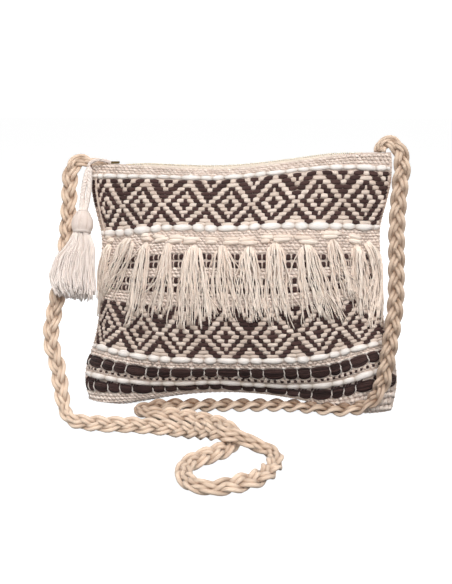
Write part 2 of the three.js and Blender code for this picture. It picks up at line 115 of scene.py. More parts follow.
# Handwoven rows aren't straight: how far they sink, in millimetres, by place across and by row
SINK_AT = (-0.95, -0.75, -0.5, -0.3, -0.12, 0.05, 0.25, 0.45, 0.62, 0.75, 0.9)
SINK = np.array([
    (0, 0, 0, 0, 0, 0, 0, 0, 0, 0, 0, 0),
    (12.3, -0.8, -0.8, -0.8, 0.3, 1, 0.3, -0.3, -1.2, 0, 1, 2.2),
    (43, 0, -3, -3, -2, 0.5, 1.3, 1.3, 1, 1, 1.8, 2.3),
    (69.2, -2.7, -3.7, -5.5, -4, -0.5, 0.6, 0, 0.3, 0, -0.7, -0.2),
    (108, -5, -5.5, -4.3, -3, -2, 0, 1.5, 1.5, 0.7, 0, 0),
    (160, -2, -2, -1.8, -1.5, -1.5, 0, 1.5, 2, 1.5, 0.7, 0),
    (183.5, -2, -1, 0, -1, -1.8, -0.5, 1.5, 3.5, 1.8, -1, -3),
    (198, -1.5, 0, 1.5, 0, -2, 0, 2, 3.5, 1, -5, -8),
    (212, -2, -0.7, 2, 1, -2.7, 1, 6, 4.5, 1, -4.5, -8.5),
    (220.5, 0.5, 0.5, 2, 0, -3.5, 1, 4.5, 6.5, 2, -4, -7),
    (246, 0, 0, 0, 0, 0, 0, 0, 0, 0, 0, 0),
], float)

# Strap route, corner to corner, as in the solids: a point of two numbers lies on the floor
LYING = 6.35
STRAP_ROUTE = [
    (-139.6, 0, 232.9), (-147.5, -0.5, 235.2), (-154.5, -2, 232), (-158, -5, 223.5), (-158.6, -14, 192),
    (-159.8, -22, 161), (-163, -30, 131), (-166.5, -39, 106), (-169.5, -50, 74), (-162.5, -56, 50),
    (-157, -63, 25), (-152.3, -71, 12), (-142, -81, 6.9), (-116, -87), (-88, -86.5),
    (-60, -89), (-40, -94, 7), (-22, -107, 11.5), (-8, -121, 16.5), (5, -130.5, 18.45),
    (17, -131, 16), (29, -129.5, 10), (40, -133, 6.9), (46.5, -147), (45, -164),
    (37, -186), (22, -200), (2, -211), (-13, -205.5), (-22.5, -189),
    (-22.5, -168), (-12, -152), (1, -136), (7, -120), (7.5, -106),
    (3.5, -91), (-7, -76), (-27, -65), (-56, -56.5), (-78, -54),
    (-88, -44.5), (-79, -35), (-58, -29.5), (-14, -23), (24, -18.5),
    (46, -16.5), (66, -18.4), (86, -22.8, 6.6), (104, -26, 7.8), (118, -27.5, 11.5),
    (130, -29.5, 21), (137.5, -30, 40), (142, -28, 72), (146, -23, 108), (146, -18, 142),
    (145.3, -12, 180), (147, -6, 214), (148.5, -3, 234), (145.2, -1.5, 247), (138, -0.5, 253.6),
    (130.5, 0, 251.8), (128.5, 0, 249), (128.5, 0, 244.9),
]
STRAP_ROUTE = [(*point, LYING)[:3] for point in STRAP_ROUTE]


# Numbers

def mix(start, end, share):
    return start + (end - start) * share


def smooth(share):
    t = np.clip(share, 0, 1)
    return t * t * (3 - 2 * t)


def within(value, start, end, ease):
    """One between start and end, and none outside, with eased edges."""
    return smooth((value - start) / ease) * smooth((end - value) / ease)


def unit(vectors):
    return vectors / np.maximum(np.linalg.norm(vectors, axis=-1, keepdims=True), 1e-9)


def square_to(directions, along):
    return unit(directions - along * (directions * along).sum(-1, keepdims=True))


def averaged(values, width):
    """Running mean, with the ends held."""
    return np.convolve(np.pad(values, width // 2, mode="edge"), np.ones(width) / width, mode="valid")


def ring(count, start=0.0):
    """Angles of points at even steps round a ring."""
    return TURN * (np.arange(count) + start) / count


def turned(angle, first, second):
    """Directions at angles from the first direction toward the second."""
    angle = np.asarray(angle)[..., None]
    return np.cos(angle) * first + np.sin(angle) * second


def wavy(t, speed, start):
    return np.sin(TURN * (speed * t + start))


def scatter(low, high, size=None):
    return rng.uniform(low, high, size)


def jitter(reach, size=None):
    return scatter(-reach, reach, size)


def between(table, row, column_):
    """Value of a table at fractions of its rows and columns."""
    top = np.clip(row.astype(int), 0, table.shape[0] - 2)
    left = np.clip(column_.astype(int), 0, table.shape[1] - 2)
    low = row - top
    right = column_ - left
    above = mix(table[top, left], table[top, left + 1], right)
    below = mix(table[top + 1, left], table[top + 1, left + 1], right)
    return mix(above, below, low)


# The cloth's surface: across runs -1 to 1, down from the hem, face -1 at the front and 1 at the back

def column(name, down):
    keys = SECTIONS[:, 0]
    values = SECTIONS[:, SECTION_COLUMNS.index(name)]
    last = len(keys) - 1
    order = np.arange(last + 1)
    before = np.maximum(order - 1, 0)
    after = np.minimum(order + 1, last)
    slopes = (values[after] - values[before]) / (keys[after] - keys[before])
    row = np.clip(np.searchsorted(keys, down, side="left") - 1, 0, last - 1)
    span = keys[row + 1] - keys[row]
    t = (down - keys[row]) / span
    held = (2 * t**3 - 3 * t**2 + 1) * values[row] + (3 * t**2 - 2 * t**3) * values[row + 1]
    bent = (t**3 - 2 * t**2 + t) * slopes[row] + (t**3 - t**2) * slopes[row + 1]
    return held + bent * span


def edge_at(down):
    return SEAM_HALF * np.minimum(1, (UNDERSIDE - down) / TURN_UNDER)


def under_at(down):
    return smooth((down - UNDER_START) / UNDER_SPAN)


def swell_at(across, down):
    return 1 - np.abs(across) ** column("round", down)


def spread_at(across):
    return across * (1 + SQUEEZE - SQUEEZE * across * across)


def lift_at(across):
    return RIGHT_LIFT * smooth((across - LIFT_START) / LIFT_SPAN)


def height_at(across, down):
    lift = column("lift", down)
    seam = column("seam", down)
    dip = column("middle", down) - seam - lift * lift_at(0)
    raised = seam + lift * lift_at(across) + dip * (1 - across * across) ** 2
    return np.maximum(0, raised - FLOOR_SINK * under_at(down))


def outer_point(across, down, face):
    edge = edge_at(down)
    depth = mix(edge, np.maximum(edge, column("belly", down)), swell_at(across, down))
    x = column("half", down) * spread_at(across)
    return np.stack(np.broadcast_arrays(x, face * depth, height_at(across, down)), axis=-1)


def outward_at(across, down, face):
    here = np.clip(across, -SIDE_LIMIT, SIDE_LIMIT)
    along = outer_point(here + ACROSS_STEP, down, face) - outer_point(here - ACROSS_STEP, down, face)
    low = np.minimum(down + DOWN_STEP, UNDERSIDE - 1)
    high = np.clip(down - DOWN_STEP, 0, UNDERSIDE - 2)
    fall = outer_point(here, low, face) - outer_point(here, high, face)
    return unit(np.cross(fall, along) * -np.asarray(face, float)[..., None])


def on_cloth(across, down, face, proud):
    across, down, face, proud = np.broadcast_arrays(across, down, face, proud)
    across = across.astype(float)
    down = np.clip(down.astype(float), 0, UNDERSIDE)
    inside = np.clip(across, -EDGE_LIMIT, EDGE_LIMIT)
    beyond = (across - inside) * column("half", down)
    points = outer_point(inside, down, face) + outward_at(inside, down, face) * proud[..., None]
    points[..., 0] += beyond
    return points


def inner_point(across, down, face):
    outer_half = column("half", down)
    half = outer_half - SEAM_ALLOWANCE
    depth = np.maximum(0, column("belly", down) - WALL) * swell_at(across, down) + SEAM_GAP * edge_at(down)
    z = height_at(across * half / outer_half, down) + WALL * under_at(down)
    return np.stack(np.broadcast_arrays(half * spread_at(across), face * depth, z), axis=-1)


# The weave on the cloth: charted places, and rows that wander

SINK_LINE = np.linspace(-1.1, 1.1, 441)
SINK_EASE = 31
SINK_ROWS = np.array([averaged(np.interp(SINK_LINE, SINK_AT, row[1:]), SINK_EASE) for row in SINK])


def sunk_at(across, down):
    row = np.interp(down, SINK[:, 0], np.arange(len(SINK)))
    place = np.interp(across, SINK_LINE, np.arange(len(SINK_LINE)))
    return between(SINK_ROWS, row, place)


def on_weave(across, down, face, proud):
    across, down = np.broadcast_arrays(np.asarray(across, float), np.asarray(down, float))
    return on_cloth(across, down + sunk_at(across, down), face, proud)


def chart_across(place, down):
    """Across at a place on the chart: diamond number n, counted from 1, has its middle at n."""
    place, down = np.broadcast_arrays(np.asarray(place, float), np.asarray(down, float))
    held = np.clip(place, 1, DIAMONDS)
    row = np.interp(down, CHART[:, 0], np.arange(len(CHART)))
    beyond = np.maximum(place - held, 0) * CHART_REPEAT + np.minimum(place - held, 0) * LEFT_REPEAT
    return between(CHART[:, 1:], row, held - 1) + beyond


def tie_places(down):
    """Where the warp ties a bulky row down: beside each diamond's middle, and between diamonds."""
    numbers = np.arange(0, DIAMONDS + 2)[:, None]
    steps = np.array([-0.5, -TIE_COLUMN / COLUMNS, TIE_COLUMN / COLUMNS])[None]
    places = np.sort(chart_across((numbers + steps).ravel(), down))
    return places[np.abs(places) < TIE_LIMIT]


# Meshes: rows of rings become closed tubes, and grids become skins

def placed(name, data, place=(0, 0, 0), look=None):
    """New object in the scene, which looks along a direction if one is given."""
    made = bpy.data.objects.new(name, data)
    made.location = place
    if look is not None:
        made.rotation_mode = "QUATERNION"
        made.rotation_quaternion = look.to_track_quat("-Z", "Y")
    bpy.context.scene.collection.objects.link(made)
    return made


def shaded(shades):
    """Shades as tubes x stations x sides, from one shade or from one for each."""
    shades = np.asarray(shades, float)
    return shades.reshape(shades.shape + (1,) * (3 - shades.ndim))


YARN_OFFSET = 50


class Skin:
    """Points, faces, texture places and shades of one piece. A repeated corner makes a triangle."""

    def __init__(self):
        self.points = []
        self.faces = []
        self.places = []
        self.shades = []
        self.count = 0

    def add(self, points, faces, places, shades):
        self.points.append(points.reshape(-1, 3))
        self.faces.append(faces.reshape(-1, 4) + self.count)
        self.places.append(places.reshape(-1, 4, 2))
        self.shades.append(shades.reshape(-1))
        self.count += points.reshape(-1, 3).shape[0]

    def tubes(self, rings, shades):
        """rings: tubes x stations x sides x 3. shades: one, or one for each tube, station or point."""
        tubes, stations, sides = rings.shape[:3]
        side = np.arange(sides)
        following = (side + 1) % sides
        station = np.arange(stations - 1)[:, None] * sides
        above = station + sides
        corners = np.stack([station + side, station + following, above + following, above + side], axis=-1)
        fold = np.arange((sides - 1) // 2)
        lid = np.stack([fold, sides - 1 - fold, sides - 2 - fold, fold + 1], axis=-1)
        end = (stations - 1) * sides + lid[:, ::-1]
        pattern = np.concatenate([corners.reshape(-1, 4), lid, end])
        faces = pattern + np.arange(tubes)[:, None, None] * stations * sides
        centres = rings.mean(axis=2)
        steps = np.linalg.norm(np.diff(centres, axis=1), axis=-1)
        reach = np.concatenate([np.zeros((tubes, 1)), np.cumsum(steps, axis=1)], axis=1)
        girth = TURN * np.linalg.norm(rings - centres[:, :, None], axis=-1).mean(axis=(1, 2))
        offset = scatter(0, YARN_OFFSET, tubes)
        along = (reach + offset[:, None])[:, :, None]
        around = (girth[:, None] * np.arange(sides + 1)[None] / sides)[:, None]
        low = along[:, :-1]
        high = along[:, 1:]
        left = around[..., :-1]
        right = around[..., 1:]
        places = ((low, left), (low, right), (high, right), (high, left))
        walls = np.stack([np.stack(np.broadcast_arrays(*place), axis=-1) for place in places], axis=-2)
        walls = walls.reshape(tubes, -1, 4, 2)
        lids = np.zeros((tubes, 2 * len(lid), 4, 2)) + offset[:, None, None, None]
        shades = np.broadcast_to(shaded(shades), rings.shape[:3])
        self.add(rings, faces, np.concatenate([walls, lids], axis=1), shades)

    def grid(self, points, places, shades, flip=False):
        """points: rows x columns x 3. places: rows x columns x 2, in mm. shades: one, or one for each."""
        rows, columns = points.shape[:2]
        order = np.arange(rows * columns).reshape(rows, columns)
        corners = [order[:-1, :-1], order[1:, :-1], order[1:, 1:], order[:-1, 1:]]
        if flip:
            corners = corners[::-1]
        faces = np.stack(corners, axis=-1).reshape(-1, 4)
        shades = np.broadcast_to(shades, points.shape[:2])
        self.add(points, faces, places.reshape(-1, 2)[faces], shades)

    def piece(self, name, material):
        mesh = bpy.data.meshes.new(name)
        points = np.concatenate(self.points) * MM + SHIFT
        points[:, 2] = np.maximum(points[:, 2], FLOOR_CLEAR)
        faces = np.concatenate(self.faces)
        places = np.concatenate(self.places)
        shades = np.concatenate(self.shades)
        kept = faces != np.roll(faces, 1, axis=1)
        corners = kept.sum(axis=1)
        mesh.vertices.add(len(points))
        mesh.vertices.foreach_set("co", points.astype(np.float32).ravel())
        mesh.loops.add(int(corners.sum()))
        mesh.loops.foreach_set("vertex_index", faces[kept].astype(np.int32))
        mesh.polygons.add(len(faces))
        mesh.polygons.foreach_set("loop_start", (np.cumsum(corners) - corners).astype(np.int32))
        mesh.update(calc_edges=True)
        layer = mesh.uv_layers.new(name="strand")
        layer.data.foreach_set("uv", places[kept].astype(np.float32).ravel())
        # Each point's shade: the yarn's own tone, with painted light and shade
        tone_and_painted_shade = mesh.attributes.new("tone_and_painted_shade", "FLOAT", "POINT")
        tone_and_painted_shade.data.foreach_set("value", np.clip(shades, 0, 1).astype(np.float32))
        mesh.polygons.foreach_set("use_smooth", np.ones(len(faces), bool))
        mesh.validate()
        mesh.update()
        made = placed(name, mesh)
        mesh.materials.append(material)
        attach(made, "root")
        return made


def woven(name, material, rings, shades):
    """One piece of the cloth, of tubes."""
    skin = Skin()
    skin.tubes(rings, shades)
    return skin.piece(name, material)


def painted_relief(shades, sides, amount, lens=False):
    """Shades for each point of tubes: painted light toward the outer side, painted shade in the creases."""
    turn = ring(sides, 0.5) - math.pi / 2 if lens else ring(sides)
    return shaded(shades) + amount * np.sin(turn)


def rings_along(centres, radius, sides, outward, flat=1.0):
    """Rings round centre lines: centres tubes x stations x 3, with outward as the direction of flattening."""
    tangent = unit(np.gradient(centres, axis=1))
    side = unit(np.cross(tangent, np.broadcast_to(outward, centres.shape)))
    normal = np.cross(side, tangent)
    turn = ring(sides)
    radius = np.broadcast_to(np.asarray(radius, float), centres.shape[:2])
    across = radius[..., None, None] * np.cos(turn)[:, None] * side[:, :, None]
    raised = flat * radius[..., None, None] * np.sin(turn)[:, None] * normal[:, :, None]
    return centres[:, :, None] + across + raised


FLOAT_ROUND = 0.75
FLOAT_BULGE = 0.45


def lens_rings(face, across, down, reach, rise, thick, lift, stations=6, sides=8, tip=0.18, blunt=2.2,
               slant=0.0):
    """Plump floats of yarn that lie in the weave. reach is in across, and the rest in millimetres."""
    u = np.linspace(-1, 1, stations)[:, None]
    narrowing = tip + (1 - tip) * (1 - np.abs(u) ** blunt) ** FLOAT_ROUND
    bulge = FLOAT_BULGE * narrowing + (1 - FLOAT_BULGE) * narrowing ** 2
    turn = ring(sides, 0.5) - math.pi / 2
    face, across, down, reach, rise, thick, lift, slant = [
        np.reshape(np.asarray(value, float), (-1, 1, 1))
        for value in (face, across, down, reach, rise, thick, lift, slant)
    ]
    fall = down + slant * u + rise * narrowing * np.cos(turn)
    rings = on_weave(across + reach * u, fall, face, lift + thick * bulge * np.sin(turn))
    front = np.broadcast_to(face, (len(rings), 1, 1))[:, 0, 0] < 0
    rings[front] = rings[front][:, :, ::-1]
    return rings


# Materials

def linear(code):
    parts = [int(code[k:k + 2], 16) / 255 for k in (0, 2, 4)]
    return tuple(p / 12.92 if p <= 0.04045 else ((p + 0.055) / 1.055) ** 2.4 for p in parts) + (1.0,)


def join(tree, made, sockets):
    """Gives each socket its value, or joins it to another node's output."""
    for key, value in sockets.items():
        if isinstance(value, bpy.types.NodeSocket):
            tree.links.new(value, made.inputs[key])
        else:
            made.inputs[key].default_value = value


def node(tree, kind, sockets):
    made = tree.nodes.new(kind)
    join(tree, made, sockets)
    return made


def noise(tree, place, scale, detail, rough=0.5):
    sockets = {"Vector": place, "Scale": scale, "Detail": detail, "Roughness": rough}
    return node(tree, "ShaderNodeTexNoise", sockets).outputs["Fac"]


def blended(tree, share, first, second):
    return node(tree, "ShaderNodeMix", {0: share, 2: first, 3: second}).outputs[0]


def new_material(name):
    material = bpy.data.materials.new(name)
    material.use_nodes = True
    return material, material.node_tree, material.node_tree.nodes["Principled BSDF"]


def dress(tree, shader, shade, stops, codes, grain, rough, bump, depth):
    """Colour from a shade, and gloss and relief from a grain."""
    ramp = node(tree, "ShaderNodeValToRGB", {"Fac": shade})
    for stop, place, code in zip(ramp.color_ramp.elements, stops, codes):
        stop.position = place
        stop.color = linear(code)
    gloss = node(tree, "ShaderNodeMapRange", {"Value": grain, "To Min": rough[0], "To Max": rough[1]})
    relief = node(tree, "ShaderNodeBump", {"Height": grain, "Strength": bump, "Distance": depth * MM})
    outputs = {
        "Base Color": ramp.outputs["Color"], "Roughness": gloss.outputs["Result"],
        "Normal": relief.outputs["Normal"],
    }
    join(tree, shader, outputs)


YARN_STOPS = (0.15, 0.8)
YARN_ROUGH = (0.78, 0.95)
YARN_DEPTH = 0.35
FIBRE_DETAIL = 3.0
FIBRE_ROUGH = 0.6
PATCH_SCALE = 220.0
PATCH_DETAIL = 2.0
PATCH_SHARE = 0.15
SHEEN_ROUGH = 0.5
YARN_SPECULAR = 0.2
PLAIN_STOPS = (0.3, 0.7)
PLAIN_DEPTH = 0.1
PLAIN_DETAIL = 4.0


def yarn_material(name, deep, pale, along=0.22, around=2.6, bump=0.5, sheen=0.2, mottle=0.35, skew=0.0):
    """Cotton yarn: fibres run along the strand, shades change from strand to strand."""
    material, tree, shader = new_material(name)
    strand = node(tree, "ShaderNodeUVMap", {})
    strand.uv_map = "strand"
    tone_and_painted_shade = node(tree, "ShaderNodeAttribute", {})
    tone_and_painted_shade.attribute_name = "tone_and_painted_shade"
    spot = node(tree, "ShaderNodeTexCoord", {})
    sockets = {"Vector": strand.outputs["UV"], "Rotation": (0, 0, skew), "Scale": (along, around, 1)}
    laid = node(tree, "ShaderNodeMapping", sockets)
    fibre = noise(tree, laid.outputs["Vector"], 1.0, FIBRE_DETAIL, FIBRE_ROUGH)
    patch = noise(tree, spot.outputs["Object"], PATCH_SCALE, PATCH_DETAIL)
    shade = blended(tree, PATCH_SHARE, blended(tree, mottle, tone_and_painted_shade.outputs["Fac"], fibre), patch)
    dress(tree, shader, shade, YARN_STOPS, (deep, pale), fibre, YARN_ROUGH, bump, YARN_DEPTH)
    fuzz = {"Sheen Weight": sheen, "Sheen Roughness": SHEEN_ROUGH, "Specular IOR Level": YARN_SPECULAR}
    join(tree, shader, fuzz)
    return material


def plain_material(name, deep, pale, metallic, rough, scale, bump):
    """Cast metal or moulded plastic: a fine grain in colour, gloss and relief."""
    material, tree, shader = new_material(name)
    spot = node(tree, "ShaderNodeTexCoord", {})
    grain = noise(tree, spot.outputs["Object"], scale, PLAIN_DETAIL)
    dress(tree, shader, grain, PLAIN_STOPS, (deep, pale), grain, rough, bump, PLAIN_DEPTH)
    join(tree, shader, {"Metallic": metallic})
    return material


GROUND = yarn_material("natural_cotton", "A08574", "F8E9DE")
DARK = yarn_material("dark_cotton", "130B0B", "58403C", sheen=0.1, bump=0.8)
WHITE = yarn_material("white_roving", "A8927F", "FFF9F4", around=1.6)
CREAM = yarn_material("cream_cotton", "A88D7B", "F2E2D5")
TUFT = yarn_material("fringe_cotton", "CDA991", "FFF2E5", along=0.15, around=3.0)
TASSEL = yarn_material("tassel_cotton", "DCC9BD", "FFF5EE", along=0.15, around=3.0)
ROPE = yarn_material("rope_cotton", "7C5A40", "F4DBC4", along=0.5, around=2.2, skew=0.5, mottle=0.25)
TAPE = yarn_material("zip_tape_cotton", "CDBCA6", "F0E5D8", along=1.6, around=1.6)
BRASS = plain_material("aged_brass", "6A5638", "B49A6C", 1.0, (0.3, 0.5), 900, 0.2)
MOULDED = plain_material("moulded_teeth", "CDBD9B", "E6D9BC", 0.0, (0.4, 0.6), 1200, 0.15)


# Camera

def make_camera():
    data = bpy.data.cameras.new("camera")
    data.sensor_fit = "VERTICAL"
    data.sensor_height = SENSOR
    data.lens = FOCAL_PIXELS * SENSOR / IMAGE_HEIGHT
    data.clip_start = 0.01
    data.clip_end = 100
    data.dof.use_dof = False
    yaw = math.radians(CAMERA_YAW)
    pitch = math.radians(CAMERA_PITCH)
    look = Vector((math.sin(yaw) * math.cos(pitch), math.cos(yaw) * math.cos(pitch), math.sin(pitch)))
    place = Vector(np.array(CAMERA_PLACE) * MM + SHIFT)
    bpy.context.scene.camera = placed("camera", data, place, look)


# Strap: three strands of two cords each, plaited along the route

STRAP_SEWN = [(-123.5, -1.2, 231.8), (-131.5, -0.8, 233.4)]
BRAID_PERIOD = 48.0
BRAID_SWING = 4.2
BRAID_SHARP = 0.5
BRAID_LIFT = 2.9
CORD_RADIUS = 1.9
CORD_PAIR = 1.75
CORD_SIDES = 10
CORD_STEP = 2.4
# Painted shade in the braid's creases and painted light on its outer hull: how strong, and where between them
# the cotton keeps its own shade
CREASE = 0.85
CREASE_MIDDLE = 0.75
CORD_SHADE = 0.66
CORD_VARIES = 0.08
SPAN_STEPS = 24
FACING_ROUNDS = 6
# Where it is sewn in, the braid is drawn together: share of its width, and over what length
START_GATHER = 0.35
START_LENGTH = 44
END_GATHER = 0.7
END_LENGTH = 40
END_SEWN = 4
# In the tight bends of its lying part the braid is calmer
LYING_FROM = 60
LYING_EASE = 20
BEND_WIDTH = 13
BEND_LEAST = 0.015
BEND_EASE = 0.03
CALM_SWING = 0.6
CALM_LIFT = 0.3
CALM_PAIR = 0.4
# In its back run the strap's lower edge is in shade
HIDDEN = 0.45
HIDDEN_FROM = 820
HIDDEN_TO = 1060
HIDDEN_EASE = 40
# Along the strap, how far the braid's flat side turns from facing up to facing the front, in degrees
BRAID_TILT = (
    (0, 90), (225, 90), (290, 66), (420, 68), (480, 52), (640, 45), (760, 38), (830, 30), (880, 10),
    (1000, 6), (1045, 25), (1090, 85), (1330, 90),
)

# Along the strap, painted light and shade: how much paler or deeper the cotton is drawn, deepest where the
# strap runs under the pouch
STRAP_PAINTED_LIGHT = (
    (0, -0.12), (110, -0.12), (200, 0.02), (270, 0.14), (330, 0.04), (420, -0.04), (790, -0.02), (850, -0.5),
    (1010, -0.5), (1060, -0.24), (1240, -0.2), (1330, -0.1),
)


def lerp(t, low, high, start, end):
    return (high - t) / (high - low) * start + (t - low) / (high - low) * end


def through(points, step):
    """Smooth line through the points, at even steps: centripetal, as the solids have it."""
    points = np.array(points, float)
    held = np.vstack([2 * points[0] - points[1], points, 2 * points[-1] - points[-2]])
    dense = []
    for k in range(len(held) - 3):
        four = held[k:k + 4]
        gaps = np.sqrt(np.linalg.norm(np.diff(four, axis=0), axis=1))
        knots = np.concatenate([[0], np.cumsum(gaps)])
        t = np.linspace(knots[1], knots[2], SPAN_STEPS, endpoint=False)[:, None]
        first = [lerp(t, knots[i], knots[i + 1], four[i], four[i + 1]) for i in range(3)]
        second = [lerp(t, knots[i], knots[i + 2], first[i], first[i + 1]) for i in range(2)]
        dense.append(lerp(t, knots[1], knots[2], *second))
    dense = np.vstack([*dense, points[-1:]])
    reach = np.concatenate([[0], np.cumsum(np.linalg.norm(np.diff(dense, axis=0), axis=1))])
    places = np.linspace(0, reach[-1], int(reach[-1] / step) + 1)
    return np.stack([np.interp(places, reach, dense[:, k]) for k in range(3)], axis=-1), places


def make_strap():
    line, places = through(STRAP_SEWN + STRAP_ROUTE, CORD_STEP)
    length = places[-1]
    along = places - through(STRAP_SEWN + STRAP_ROUTE[:1], CORD_STEP)[1][-1]
    tangent = unit(np.gradient(line, axis=0))
    tilt = np.radians(np.interp(along, *zip(*BRAID_TILT)))
    facing = np.stack([0 * tilt, -np.sin(tilt), np.cos(tilt)], axis=-1)
    for _ in range(FACING_ROUNDS):
        facing = square_to(facing, tangent)
        padded = np.vstack([facing[:1], facing, facing[-1:]])
        facing = unit(0.25 * padded[:-2] + 0.5 * padded[1:-1] + 0.25 * padded[2:])
    facing = square_to(facing, tangent)
    width = np.cross(tangent, facing)
    start_gather = mix(START_GATHER, 1, smooth(places / START_LENGTH))
    end_gather = mix(END_GATHER, 1, smooth((length - places - END_SEWN) / END_LENGTH))
    gather = np.minimum(start_gather, end_gather)
    bend = averaged(np.linalg.norm(np.gradient(tangent, axis=0), axis=1) / CORD_STEP, BEND_WIDTH)
    lying = within(places, LYING_FROM, length - LYING_FROM, LYING_EASE)
    calm = lying * smooth((bend - BEND_LEAST) / BEND_EASE)
    # The cords' own shade, with painted light and shade along the strap
    tone_and_painted_light = CORD_SHADE + np.interp(along, *zip(*STRAP_PAINTED_LIGHT))
    hidden = HIDDEN * within(along, HIDDEN_FROM, HIDDEN_TO, HIDDEN_EASE)
    cords = []
    shades = []
    for strand in range(3):
        turn = TURN * (places / BRAID_PERIOD + strand / 3)
        swing = BRAID_SWING * np.tanh(BRAID_SHARP * np.sin(turn)) / math.tanh(BRAID_SHARP)
        swing = swing * gather * (1 - CALM_SWING * calm)
        raised = -BRAID_LIFT * np.sin(2 * turn) * gather * (1 - CALM_LIFT * calm)
        middle = line + width * swing[:, None] + facing * raised[:, None]
        beside = unit(np.cross(unit(np.gradient(middle, axis=0)), facing))
        for side in (-1, 1):
            cords.append(middle + beside * (side * CORD_PAIR * gather * (1 + CALM_PAIR * calm))[:, None])
            shades.append(tone_and_painted_light + jitter(CORD_VARIES))
    radius = CORD_RADIUS * mix(0.7, 1, gather)
    rings = rings_along(np.stack(cords), radius, CORD_SIDES, facing[None])
    # Painted light and shade on each point: deeper in the creases toward the braid's middle, paler on its
    # outer hull, and in the back run deeper at one edge and paler at the other
    apart = (rings - line[None, :, None]) / gather[None, :, None, None]
    wide = (apart * width[None, :, None]).sum(-1) / (BRAID_SWING + CORD_PAIR + CORD_RADIUS)
    high = (apart * facing[None, :, None]).sum(-1) / (BRAID_LIFT + CORD_RADIUS)
    outer = np.minimum(np.sqrt(wide**2 + high**2), 1)
    deep = CREASE * (outer - CREASE_MIDDLE) + hidden[None, :, None] * wide
    skin = Skin()
    skin.tubes(rings, np.stack(shades)[:, :, None] + deep)
    made = skin.piece("rope_strap", ROPE)
    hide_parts("strap")


# Pouch cloth: one folded length, front and back in one shell

BANDS = (
    # top, row height, edges of the colours in columns and rows from a diamond's middle
    (15.2, 4.3, (1.4, 3.2, 4.9, 6.7)),
    (136.0, 3.75, (1.5, 3.4, 4.6, 6.5)),
)
BAND_ROWS = range(-6, 6)
BAND_EASE = 2
CLOTH_COLUMNS = 121
CLOTH_ROWS = 96
CLOTH_CROWD = 0.3
FOLD_FROM = 234
FOLD_ROWS = 8
CLOTH_SHADE = 0.5
BAND_SHADE = 0.4
RIM_SHADE = 0.6


def make_cloth():
    across = np.linspace(-1, 1, CLOTH_COLUMNS)
    across = np.clip(across + CLOTH_CROWD * (across - across**3), -1, 1)
    fold = np.linspace(FOLD_FROM + 2, UNDERSIDE, FOLD_ROWS)
    down = np.concatenate([np.linspace(0, FOLD_FROM, CLOTH_ROWS), fold])
    a, d = np.meshgrid(across, down)
    skin = Skin()
    level = d - sunk_at(a, d)
    # Painted shade: the shell is drawn deeper within the diamond bands, where it shows in the gaps between
    # floats
    banded = np.zeros_like(d)
    for top, row, _ in BANDS:
        banded = np.maximum(banded, within(level, top, top + len(BAND_ROWS) * row, BAND_EASE))
    shades = CLOTH_SHADE - BAND_SHADE * banded
    places = np.stack([a * column("half", d), d], axis=-1)
    lining = [*range(0, len(down), 2), len(down) - 1]
    for face in FACES:
        points = outer_point(a, d, face)
        skin.grid(points, places, shades, flip=face > 0)
        inside = inner_point(a, d, face)
        skin.grid(inside[lining], places[lining], shades[lining], flip=face < 0)
        rim = np.stack([points[0], inside[0]])
        rim_places = np.stack([places[0], places[0] + [0, WALL]])
        skin.grid(rim, rim_places, RIM_SHADE, flip=face < 0)
    for surface, rows, inward in ((outer_point, down, False), (inner_point, down[lining], True)):
        strip = np.stack([rows, 0 * rows], axis=-1)
        strip_places = np.stack([strip, strip + [0, 2 * SEAM_HALF]], axis=1)
        for end in (-1.0, 1.0):
            points = np.stack([surface(np.full_like(rows, end), rows, face) for face in (end, -end)], axis=1)
            skin.grid(points, strip_places, CLOTH_SHADE, flip=not inward)
    made = skin.piece("pouch_cloth", GROUND)
    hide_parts("pouch")
    return made


# Diamond bands, charted row by row

LOWER_EDGES = (8.6,)
UPPER_EDGES = (9.4, 10.7)
MOST_DARK = 3.2
MOST_LIGHT = 3.6
FLOAT_COLUMNS = 2.6
FLOAT_OVERLAP = 0.35
ROW_OVERLAP = 0.56
LEFT_LIMIT = -0.952
LEAST_FLOAT = 0.022
FLOAT_SLOPE = 0.4
FLOAT_THICK = 1.5
FLOAT_LIFT = 0.35
FLOAT_SIDES = 8
# Painted light on the floats' outer side and painted shade in their creases
FLOAT_CROWN = 0.16


def row_runs(edges, row):
    """Runs of one colour along a row, as (dark, from column, to column), from one middle to the next."""
    steps = [step - abs(row) for step in edges + (UPPER_EDGES if row < 0 else LOWER_EDGES)]
    dark = sum(step <= 0 for step in steps) % 2 == 0
    ends = [step for step in steps if 0 < step < COLUMNS / 2]
    runs = [(dark, -ends[0], ends[0])]
    for start, end in zip(ends, ends[1:]):
        dark = not dark
        runs.append((dark, start, end))
        runs.append((dark, -end, -start))
    runs.append((not dark, ends[-1], COLUMNS - ends[-1]))
    return runs


